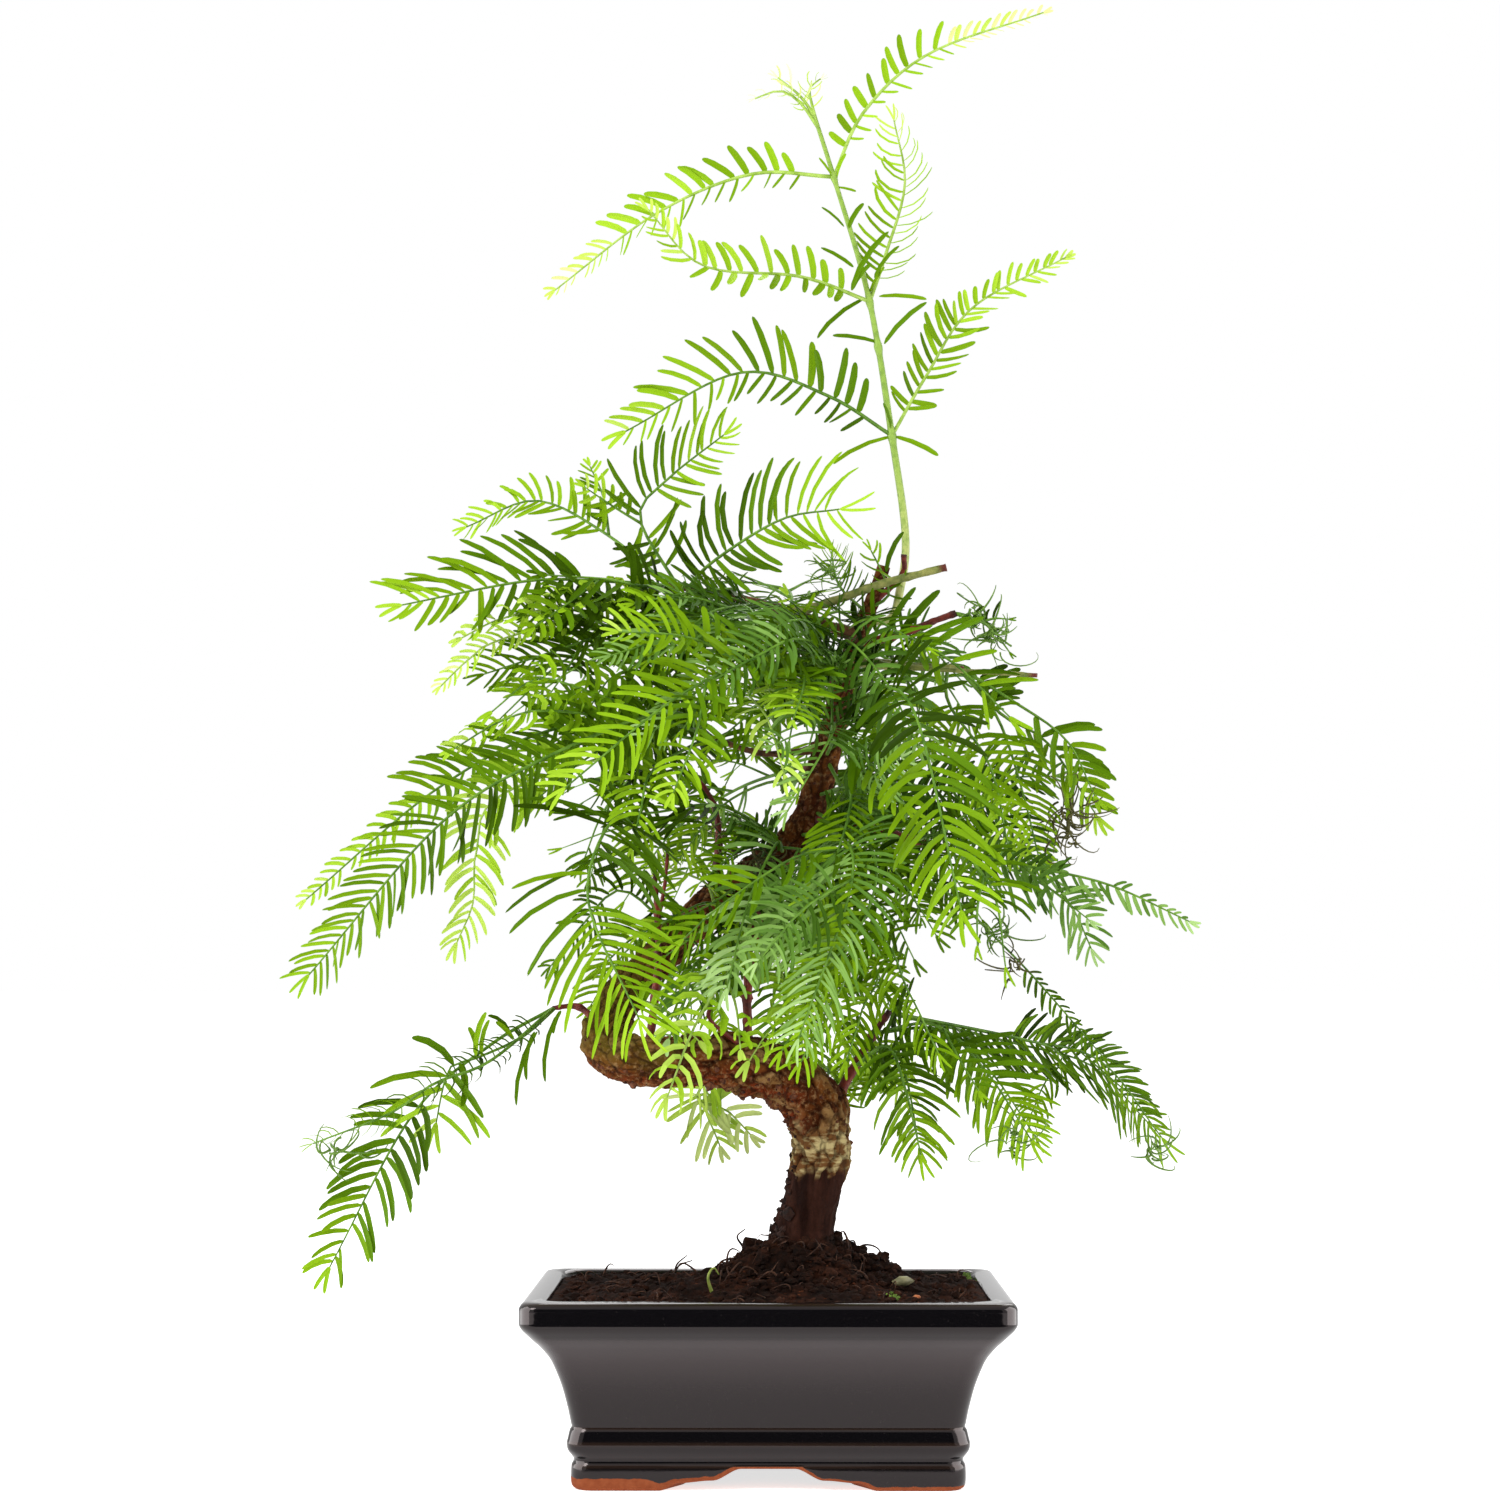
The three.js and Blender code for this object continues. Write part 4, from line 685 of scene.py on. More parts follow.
def build_pot():
    """The pot as one closed skin."""
    rise = foot_rise()
    rings = pot_rings(rise)
    points, faces = capped(rings)
    cut = np.append(np.tile(rise, len(rings)), [0, 0])
    marks = pot_marks(points, cut)
    piece("pot_glazed", points, faces, glazed_stoneware(), "pot", ["pot"], fields=marks)


# ------------------------------------------------------------------ soil


def soil_height(x, y):
    """Level at the walls, a hollow-sided mound that climbs to a collar round the trunk, all
    broken into lumps round its foot and into crumbs by noise."""
    d = np.hypot((x - SOIL["x"]) / SOIL["stretch"], y)
    past = np.maximum(d - SOIL["flat"], 0)
    rise = SOIL["mound"] * np.exp(-((past / SOIL["spread"]) ** 1.2) * 1.5)
    collar = SOIL["collar"] * np.exp(-np.maximum(d - SOIL["trunk"], 0) / 7.0)
    place = np.stack([x, y, 0 * x], axis=-1)
    lumps = rough(place, seed=13, pitch=9.0, height=9.0) * bell(d, *SOIL["lumps"])
    crumbs = rough(place, seed=11, pitch=6.5, height=5.0, layers=4)
    crumbs = crumbs + rough(place, seed=17, pitch=1.7, height=1.3, layers=1)
    from_wall = np.minimum(POT["length"] / 2 - 9 - np.abs(x), POT["depth"] / 2 - 9 - np.abs(y))
    near, calm = SOIL["calm"]
    crumbs = crumbs * smooth(*SOIL["crumbs"], d) * (calm + (1 - calm) * smooth(0, near, from_wall))
    return SOIL["level"] + rise + collar + lumps + crumbs


def build_soil():
    """The soil's surface from the trunk's foot out to the pot's wall, with a skirt that goes
    down inside the pot, closed below."""
    inset, rings = SOIL["inset"], 110
    edge = outline(POT["length"] / 2 - inset, POT["depth"] / 2 - inset, POT["inner_corner"], 110, 80, 9)
    share = np.linspace(0.02, 1, rings)[:, None]
    x = SOIL["x"] + (edge[None, :, 0] - SOIL["x"]) * share
    y = edge[None, :, 1] * share
    top = np.stack([x, y, soil_height(x, y)], axis=-1)[::-1]
    skirt = np.column_stack([edge, np.full(len(edge), SOIL["skirt"])])[None]
    base = skirt * (0.6, 0.6, 1.0)
    points, faces = capped(np.concatenate([base, skirt, top]))
    earth = potting_soil("potting soil", "#0f0704", "#31180d")
    piece("soil_surface", points, faces, earth, "soil", ["soil"])


def icosahedron():
    """Twelve corners, on three golden rectangles square to each other, and the twenty triples of
    corners that stand one edge apart, each wound to face out."""
    golden, edge = (1 + 5**0.5) / 2, 2.0
    signs = [(a, b) for b in (1, -1) for a in (-1, 1)]
    corners = np.array([np.roll((a, b * golden, 0), turn) for turn in range(3) for a, b in signs])
    apart = np.linalg.norm(corners[:, None] - corners, axis=2)
    faces = []
    for i, j, k in itertools.combinations(range(12), 3):
        if max(apart[i, j], apart[j, k], apart[i, k]) < edge + 0.1:
            faces.append((i, j, k) if np.linalg.det(corners[[i, j, k]]) > 0 else (i, k, j))
    return unit(corners), np.array(faces)


def stone_shapes(rng, places, sizes, squash=0.75):
    """Small irregular lumps: an icosahedron's corners pushed in and out, scaled along each axis,
    flattened and turned about the upright."""
    corners, faces = icosahedron()
    n = len(places)
    reach = sizes[:, None, None] * rng.uniform(0.7, 1.25, (n, 12, 1))
    turn = rng.uniform(0, 2 * np.pi, n)
    shape = corners[None] * reach * rng.uniform(0.7, 1.3, (n, 1, 3)) * (1, 1, squash)
    cosine, sine = np.cos(turn)[:, None], np.sin(turn)[:, None]
    x = shape[..., 0] * cosine - shape[..., 1] * sine
    y = shape[..., 0] * sine + shape[..., 1] * cosine
    points = places[:, None] + np.stack([x, y, shape[..., 2]], axis=-1)
    first = 12 * np.arange(n)[:, None, None]
    return points.reshape(-1, 3), (faces[None] + first).reshape(-1, 3)


def strands(centre, radius, sides=4):
    """Many thin tapering strands at once: a tube along each row of middle points, whose radius
    falls to a quarter as the square of the share."""
    n, rings, _ = centre.shape
    u = np.linspace(0, 1, rings)
    way = unit(np.gradient(centre, axis=1))
    side = unit(np.cross(way, (0.3, 0.2, 0.93)))
    other = np.cross(way, side)
    angle = np.linspace(0, 2 * np.pi, sides, endpoint=False)
    out = side[:, :, None] * np.cos(angle)[:, None] + other[:, :, None] * np.sin(angle)[:, None]
    reach = (np.asarray(radius)[:, None] * (1 - 0.75 * u**2)[None])[..., None, None]
    points = (centre[:, :, None] + reach * out).reshape(-1, 3)
    ends = [list(range(sides))[::-1], [(rings - 1) * sides + k for k in range(sides)]]
    one = grid_faces(rings, sides).tolist() + ends
    firsts = range(0, n * rings * sides, rings * sides)
    return points, [[k + first for k in face] for first in firsts for face in one]


def bent_lines(starts, middles, ends, rings=9):
    """Parabolas through a start, a middle and an end."""
    u = np.linspace(0, 1, rings)[None, :, None]
    a, b, c = (np.asarray(v)[:, None] for v in (starts, middles, ends))
    return a * (1 - u) * (1 - 2 * u) + 4 * b * u * (1 - u) + c * u * (2 * u - 1)


def on_soil(rng, count, near=None, reach=30.0, limit=(78, 53)):
    """Random places on the soil, all over it or round a given spot."""
    if near is None:
        x = rng.uniform(-limit[0], limit[0], count)
        y = rng.uniform(-limit[1], limit[1], count)
    else:
        angle = rng.uniform(0, 2 * np.pi, count)
        distance = reach * np.sqrt(rng.uniform(0, 1, count))
        x = np.clip(near[0] + distance * np.cos(angle), -limit[0], limit[0])
        y = np.clip(near[1] + distance * np.sin(angle), -limit[1], limit[1])
    return np.stack([x, y, soil_height(x, y)], axis=1)


def build_crumbs(rng):
    """Peat crumbs all over the soil and thick on the mound, clods there, and paler bark fines."""
    mound = (SOIL["x"], 0)
    dark = potting_soil("peat crumbs", "#130906", "#3c2115")
    red = potting_soil("bark fines", "#2c130a", "#6a3c26")
    crumbs = np.vstack([on_soil(rng, 900), on_soil(rng, 700, mound, 36)])
    sizes = rng.gamma(3.0, 0.38, len(crumbs)) + 0.35
    clods = on_soil(rng, 170, mound, 36) + (0, 0, 0.6)
    places = np.vstack([crumbs, clods])
    sizes = np.append(sizes, rng.uniform(1.0, 2.3, len(clods)))
    piece("soil_crumbs", *stone_shapes(rng, places, sizes), dark, "soil", soft=False)
    fines = np.vstack([on_soil(rng, 240), on_soil(rng, 90, (SOIL["x"], -6), 34)])
    sizes = rng.uniform(0.3, 1.0, len(fines))
    piece("soil_bark_fines", *stone_shapes(rng, fines, sizes, 0.45), red, "soil", soft=False)


def build_rootlets(rng):
    """Fine dry roots on the mound and the soil: parabolas that lie down, arch or stick up."""
    starts = np.vstack([on_soil(rng, 110, (SOIL["x"], -2), 36), on_soil(rng, 70)])
    n = len(starts)
    angle = rng.uniform(0, 2 * np.pi, n)
    step = np.stack([np.cos(angle), np.sin(angle), 0 * angle], axis=1) * rng.uniform(3, 9, n)[:, None]
    lift = np.array([0, 0, 1.0]) * rng.uniform(0.4, 2.6, (n, 1)) + rng.normal(0, 1.0, (n, 3))
    ends = starts + step
    level = soil_height(ends[:, 0], ends[:, 1])
    ends[:, 2] = level + rng.choice([-0.3, 0.6, 3.2], n, p=[0.4, 0.4, 0.2])
    middles = (starts + ends) / 2 + lift
    radii = rng.uniform(0.16, 0.5, n)
    rootlet = young_bark("dry rootlet", "#24130b", "#4f3222", 2.0, 0.85)
    piece("fine_roots", *strands(bent_lines(starts, middles, ends), radii), rootlet, "soil")


# Ends of dead twigs that lie on the soil or stick out of it.
TWIG_ENDS = [
    [(-38, 30, 70), (-35, 29, 74.5), (-30, 28, 76.5)],
    [(-37, 31, 71), (-36, 29, 75), (-32, 28, 78.5)],
    [(-10, 8, 84), (-12, 4, 88), (-9, 2, 91)],
    [(33, 4, 82), (37, 2, 85), (42, 0, 84), (45, -2, 79)],
]


def build_litter():
    """A seedling's blade, broad across and tapering, and the ends of a few dead twigs."""
    blade = Path([(-21, -30, 70), (-22.5, -32, 76), (-20.5, -31, 79.5), (-18.5, -30, 77)])
    points, faces, _, _ = limb(blade, lambda u, a: 0.95 - 0.6 * u + 0.2 * np.cos(2 * a), 24, 8)
    leaf = young_bark("seedling leaf", "#6c7c2c", "#94a048", 3.0, 0.6)
    piece("seedling", points, faces, leaf, "soil")
    heap = Heap()
    for places in TWIG_ENDS:
        points, faces, _, _ = limb(Path(places), lambda u, a: 0.55 - 0.3 * u + 0 * a, 16, 6)
        heap.add(points, faces)
    heap.to_piece("twig_ends", young_bark("dead twig", "#1f110b", "#46301f", 2.0, 0.85), "soil")


def build_pebbles(rng):
    """One river pebble and one grain of baked clay."""
    pebble = on_soil(rng, 1, (51, -22), 0.1) + (0, 0, 1.4)
    grain = on_soil(rng, 1, (55, -43), 0.1) + (0, 0, 0.6)
    stone = young_bark("river pebble", "#6d6a4c", "#8f8a66", 3.0, 0.5)
    piece("pebble", *stone_shapes(rng, pebble, np.array([3.3]), 0.8), stone, "soil")
    clay = young_bark("akadama grain", "#a35a33", "#c57f55", 2.0, 0.8)
    piece("orange_chip", *stone_shapes(rng, grain, np.array([1.5]), 0.8), clay, "soil")


def build_moss(rng):
    """Cushion moss in the far right corner, and a little in front."""
    tufts = np.vstack([on_soil(rng, 90, (84, 44), 6, (80, 55)), on_soil(rng, 20, (47, -38), 3)])
    sizes = rng.uniform(0.5, 1.1, len(tufts))
    moss = young_bark("cushion moss", "#3b5219", "#76913a", 1.0, 0.9)
    piece("moss", *stone_shapes(rng, tufts + (0, 0, 0.3), sizes, 0.8), moss, "soil", soft=False)


def build_soil_detail():
    """All that lies on the soil, drawn from one stream of random numbers."""
    rng = np.random.default_rng(SEEDS["soil"])
    build_crumbs(rng)
    build_rootlets(rng)
    build_litter()
    build_pebbles(rng)
    build_moss(rng)


# ------------------------------------------------------------------ trunk and boughs

STATIONS = np.array(TRUNK["stations"], float)
TRUNK_PATH = Path(STATIONS[:, :3])


def trunk_radius(u, angle=0.0):
    """The radius read between the stations by straight steps and evened out over 2% of the
    length, plus ribs that fan out at the foot."""
    step = np.linalg.norm(np.diff(STATIONS[:, :3], axis=0), axis=1)
    share = np.append(0, np.cumsum(step)) / step.sum()
    u = np.asarray(u, float)
    r = sum(np.interp(u + d, share, STATIONS[:, 3]) for d in (-0.012, 0, 0.012)) / 3
    flare = TRUNK["flare"]
    foot = np.maximum(0, 1 - u * TRUNK_PATH.length / flare["over"])
    return r * (1 + flare["share"] * foot * np.cos(flare["ribs"] * angle + 0.6))


# Knots and burls: share of the trunk's length, angle round it, height and breadth.
KNOTS = [
    (0.15, 3.6, 1.6, 6.0), (0.185, 2.6, 1.7, 6.0), (0.235, 1.5, 1.8, 7.0), (0.25, 4.4, 1.4, 5.0),
    (0.315, 1.2, 1.6, 5.5), (0.345, 3.5, 2.4, 6.5),
    (0.36, 0.4, 2.0, 6.0), (0.372, 5.2, 2.0, 6.0), (0.39, 2.2, 2.2, 6.0), (0.43, 4.2, 1.4, 5.0),
    (0.55, 3.0, 1.2, 5.0), (0.66, 1.0, 1.2, 5.0), (0.75, 4.0, 1.0, 4.0),
]

# Breadth and length of a bark plate; the heights up to which the bark is damp and pale, and
# the x below which it is green.
BARK = {"plate": (4.6, 8.5), "damp": 113.0, "pale": 131.0, "green": -34.0}


def bark_plates(u, angle):
    """For each point of the bark the gap to its plate's crack, the plate's own number and how
    far along the plate it lies: plates are cells on the bark laid out flat, a little warped."""
    r = trunk_radius(u)
    wide, long = BARK["plate"]
    along = u * TRUNK_PATH.length / long + 0 * angle
    seat = np.stack([np.cos(angle) * r / wide, np.sin(angle) * r / wide, along], axis=-1)
    return plates(seat + (noise(seat * 1.7, 29)[..., None] - 0.5) * 0.5, 31)


def knots(u, angle):
    """Height of the knots: a bell round the middle of each, by the distance over the bark."""
    height = 0
    for at, turn, tall, breadth in KNOTS:
        round_trunk = np.angle(np.exp(1j * (angle - turn))) * trunk_radius(u)
        away = np.hypot((u - at) * TRUNK_PATH.length, round_trunk)
        height = height + tall * bell(away, 0, breadth * 0.62)
    return height


def bark_relief(u, angle, place):
    """Millimetres of relief: scattered plates, each at its own height, tipped a little and cut
    round by a crack, over slow swellings and knots; smooth and finely ribbed where it is damp."""
    gap, owner, ahead = bark_plates(u, angle)
    amount = np.clip(trunk_radius(u) / 9, 0.2, 1.1)
    scaly = 0.25 + 0.75 * smooth(BARK["damp"] - 6, BARK["damp"] + 4, place[..., 2])
    scales = (owner - 0.45) * 1.2 + ahead * 0.9 - smooth(0.17, 0.02, gap) * 0.7
    ribs = 0.22 * np.sin(9 * angle + 3 * noise(place / 9.0, 33)) * (1 - scaly)
    fine = rough(place, seed=37, pitch=2.4, height=1.9)
    swell = rough(place, seed=41, pitch=13.0, height=3.0)
    relief = (scales + fine) * scaly * amount + (ribs + swell + knots(u, angle)) * amount
    return relief * smooth(1.0, 0.965, u)  # it fades at the trunk's end


def facing_up(points, u):
    """How far each point of the bark faces up: -1 under the trunk, 1 on top of it."""
    return (points[:, 2] - TRUNK_PATH.at(u)[:, 2]) / np.maximum(trunk_radius(u), 1)


def bark_marks(points, u, angle):
    """Numbers for the bark's colours: each plate's own shade, its cracks, and how rusty, pale,
    damp or green it is."""
    gap, owner, _ = bark_plates(u, angle)
    x, _, z = points.T
    top = facing_up(points, u)
    blotch = rough(points, seed=53, pitch=9.0, height=1.0, layers=4)
    damp = smooth(2.5, -2.5, z - BARK["damp"] + 14 * blotch + 6 * (owner - 0.5)) * smooth(0.4, 0.2, u)
    rise = BARK["pale"] + 0.3 * (x - TRUNK["stations"][0][0])  # it climbs towards the outside of the bend
    pale = smooth(3.0, -2.0, z - rise + 12 * blotch + 12 * (owner - 0.5))
    pale = pale * smooth(0.16, 0.42, owner + 0.6 * blotch + 0.1) * (1 - damp) * smooth(0.3, 0.2, u)
    moss = smooth(BARK["green"] + 4, BARK["green"] - 24, x + 50 * blotch) * smooth(-0.7, 0.5, top) * 0.6
    on_top = smooth(0.3, 0.9, top) * smooth(0.02, 0.14, blotch) * smooth(190, 160, z) * 0.7
    frayed = gap + rough(points, seed=59, pitch=1.8, height=0.25, layers=2)
    crack = smooth(0.16, 0.02, frayed) * (0.62 - 0.4 * damp)
    shade = np.clip(owner + 0.5 * blotch - 0.35 * smooth(0.5, 0.7, u), 0, 1)
    rust = smooth(0.1, -0.7, top) * smooth(0.5, 0.42, u) * (1 - damp) * smooth(-0.1, 0.1, blotch + 0.04)
    moss = np.maximum(moss, on_top)
    return {"rust": rust, "plate": shade, "crack": crack, "wet": damp, "pale": pale, "moss": moss}


def build_clinging(points, u):
    """Loose flakes on the dry bark, most of them under the bend, and crumbs of soil that climb
    the left of the foot."""
    rng = np.random.default_rng(SEEDS["clinging"])
    z = points[:, 2]
    dry = z > BARK["damp"] + 5
    under = np.flatnonzero((facing_up(points, u) < -0.35) & dry & (u < 0.42) & (u > 0.12))
    flakes = np.concatenate([rng.choice(under, 190), rng.choice(np.flatnonzero(dry & (u < 0.9)), 190)])
    from_axis = points[:, 0] - TRUNK_PATH.at(u)[:, 0]
    left = np.flatnonzero((from_axis < -0.7 * trunk_radius(u)) & (u < 0.16))
    weight = np.exp(-(z[left] - 80) / 14)  # thickest at the soil
    soiled = rng.choice(left, 150, p=weight / weight.sum())
    kinds = (
        ("bark_flakes", flakes, 1.0, "#2b130a", "#6f4128"),
        ("foot_crumbs", soiled, 1.5, "#150905", "#32190f"),
    )
    for name, spots, size, dark, light in kinds:
        sizes = (rng.gamma(3.0, 0.2, len(spots)) + 0.25) * size
        crumb = young_bark(name.replace("_", " "), dark, light, 2.0, 0.9)
        piece(name, *stone_shapes(rng, points[spots], sizes, 0.8), crumb, "trunk", soft=False)


def build_trunk():
    """The trunk's skin with its relief and marks, and what clings to it."""
    points, faces, u, angle = limb(TRUNK_PATH, trunk_radius, 620, 146, bark_relief, flat_start=True)
    marks = bark_marks(points, u, angle)
    piece("trunk_bark", points, faces, old_bark(), "trunk", ["trunk"], fields=marks)
    build_clinging(points, u)


# Every limb that something springs from: its path and its radius by share.
LIMBS = {"trunk": (TRUNK_PATH, trunk_radius)}

# Bark of each bough that isn't red, and how slim the living wood is inside the source's plain taper.
BARK_OF = {"pruned": "olive", "right_twig": "olive", "upper_left": "brown", "left_mid": "brown"}
SLIM = {"pruned": 0.72, "left_mid": 0.62, "upper_left": 0.75, "upper_right": 0.8}

# Young barks: name, the two colours of its mottling, and its colour at a cut end.
YOUNG_BARKS = (
    ("red", "#3b110a", "#732a1a", "#2f0f0a"),
    ("brown", "#38200f", "#6f4a2a", "#3f2012"),
    ("olive", "#56622a", "#8c8c4c", "#55241a"),
)

SHOOTS = [
    ("trunk", 0.9, (1.1, 0.85), [(53, -18, 307), (74, -22, 305), (89, -24, 304), (103, -24, 303)], "olive"),
    ("red_mid", 0.45, (1.2, 0.8), [(-3, -26, 205), (-4, -29, 214)], "red"),
    ("red_left", 0.72, (0.8, 0.55), [(-39, -28, 224), (-38, -30, 236)], "red"),
    ("trunk", 0.96, (1.3, 1.0), [(52, -6, 344), (53, -8, 352)], "red"),
    ("trunk", 0.2, (1.0, 0.7), [(-20, -30, 170), (-22, -33, 177)], "red"),
]


def bough_radius(radii):
    """A bough's radius by share of its length: it falls from root to tip, a little faster at first."""
    root, tip = radii
    return lambda u, angle=0.0: root + (tip - root) * np.asarray(u, float) ** 0.8 + 0 * angle


def bough_shape(path, radii):
    """One bough: a tapering limb with faint lumps, rings at its buds and a swollen foot. Returns
    points, faces and how far each point belongs to the cut end."""
    root = radii[0]

    def relief(u, angle, place):
        lumps = rough(place, seed=71, pitch=5.0, height=0.5) * root
        rings = 0.16 * root * np.cos(u * path.length / 2.6) ** 10
        foot = 0.9 * root * np.exp(-u * path.length / (1.6 * root))
        return lumps + rings + foot

    rings = max(30, int(path.length / 0.9))
    points, faces, u, _ = limb(path, bough_radius(radii), rings, 22, relief)
    return points, faces, smooth(0.94, 0.98, u)


def lay_out_boughs():
    """Adds each bough to the limbs that others spring from, and lists the boughs and short
    shoots to be made: bark, path and radii. The leader has a skin of its own."""
    made = []
    for name, (on, at, radii, to) in BOUGHS.items():
        path = Path([LIMBS[on][0].at(at)] + to)
        LIMBS[name] = (path, bough_radius(radii))
        if name != "leader":
            slim = SLIM.get(name, 1.0)
            made.append((BARK_OF.get(name, "red"), path, [slim * r for r in radii]))
    for on, at, radii, to, bark in SHOOTS:
        made.append((bark, Path([LIMBS[on][0].at(at)] + to), radii))
    return made


def build_boughs():
    """The boughs; those with the same bark share one mesh."""
    made = lay_out_boughs()
    for key, dark, light, cut in YOUNG_BARKS:
        heap, cut_ends = Heap(), []
        for _, path, radii in (bough for bough in made if bough[0] == key):
            points, faces, cut_end = bough_shape(path, radii)
            heap.add(points, faces)
            cut_ends.append(cut_end)
        stands_for = [name for name in BOUGHS if name != "leader" and BARK_OF.get(name, "red") == key]
        skin = young_bark(f"{key} young bark", dark, light, cut=cut)
        marks = {"cut": np.concatenate(cut_ends)}
        heap.to_piece(f"boughs_{key}", skin, "bark", stands_for=stands_for, fields=marks)


def build_leader():
    """The leader: a smooth shoot with a swelling at each joint and shallow ridges that run
    down it."""
    path, radius = LIMBS["leader"]
    joints = np.array([0.39, 0.555, 0.64, 0.88])

    def relief(u, angle, place):
        near = bell((u[..., None] - joints) * path.length, 0, 2.2).sum(-1)
        return 0.55 * near + 0.12 * np.cos(5 * angle)

    points, faces, u, _ = limb(path, radius, 260, 18, relief)
    marks = {"rise": smooth(0.05, 0.4, u)}
    piece("leader_shoot", points, faces, leader_skin(), "green_shoot", ["leader"], fields=marks)


# ------------------------------------------------------------------ foliage

# Greens from the oldest, shaded needles to the newest growth, then four soft greens of old
# inner sprays.
SHADES = [
    "#283f00", "#3b5902", "#507404", "#688c08", "#7fa615", "#96bb2a", "#b1ce52", "#cbdd86", "#e0e8b0",
    "#35540e", "#527728", "#779c49", "#9dbe73",
]
YELLOWEST = 8  # the last of the first row

# Where each tint begins in the row of shades, and how many steps it climbs to a spray's tip.
TINTS = [
    (0.2, 2.2), (1.1, 2.7), (1.9, 3.3), (3.5, 2.4), (4.6, 1.6), (6.0, 1.4), (9.0, 2.2), (0.9, 3.8),
    (9.7, 1.9), (7.0, 1.0), (1.6, 1.9),
]
GREY, BOLD, SOFT, WAN, MID = 6, 7, 8, 9, 10  # tints with a look of their own

# Ways a spray grows: spacing of its pairs and width of its needles in millimetres, the
# degrees a needle turns forward along its length, the degrees each row is folded up out
# of the spray's plane, how far needles roll over, and the share that is missing.
HABITS = {
    "bold": dict(pitch=4.6, width=2.8, turn=28, fold=26, roll=0.2, gaps=0.03),
    "broad": dict(pitch=3.9, width=2.3, turn=30, fold=28, roll=0.2, gaps=0.04),
    "plain": dict(pitch=3.6, width=2.0, turn=30, fold=22, roll=0.2, gaps=0.04),
    "fine": dict(pitch=2.9, width=1.6, turn=34, fold=16, roll=0.16, gaps=0.03),
    "feather": dict(pitch=4.0, width=1.5, turn=60, fold=8, roll=0.1, gaps=0.0),
    "sparse": dict(pitch=4.6, width=1.3, turn=75, fold=44, roll=0.7, gaps=0.2),
    "open": dict(pitch=5.7, width=2.8, turn=16, fold=34, roll=0.25, gaps=0.0),
    "scant": dict(pitch=9.0, width=1.8, turn=70, fold=50, roll=0.8, gaps=0.45),
    "comb": dict(pitch=3.5, width=2.1, turn=26, fold=22, roll=0.3, gaps=0.0),
    "curly": dict(pitch=4.4, width=2.7, turn=125, fold=50, roll=1.2, gaps=0.06),
    "tuft": dict(pitch=1.7, width=0.8, turn=20, fold=60, roll=0.3, gaps=0.0),
    "wispy": dict(pitch=3.2, width=0.7, turn=90, fold=40, roll=0.5, gaps=0.1),
}

# Rows that differ: the way towards which needles are changed, the shares their length and
# breadth keep there, and the degrees they lean further out.
EVEN = ((0, 0, 1), 1.0, 1.0, 0.0)
THIN_BELOW = ((0, 0, -1), 0.72, 0.42, -4)
HAIRY_RIGHT = ((1, 0, 0), 1.05, 0.42, -22)
SWEPT_ABOVE = ((0, 0, 1), 1.3, 0.85, -16)
SHORT_ABOVE = ((0, 0, 1), 0.55, 0.8, -6)

# How far needles stray from the rule of their row, as standard deviations: shares of the pitch,
# of their length, breadth, turn and sag, radians of fold, degrees of angle and steps of shade.
STRAY = {
    "place": 0.12, "fold": 0.13, "angle": 6.0, "length": 0.08, "width": 0.07, "shade": 0.35,
    "turn": 0.3, "sag": 0.05,
}

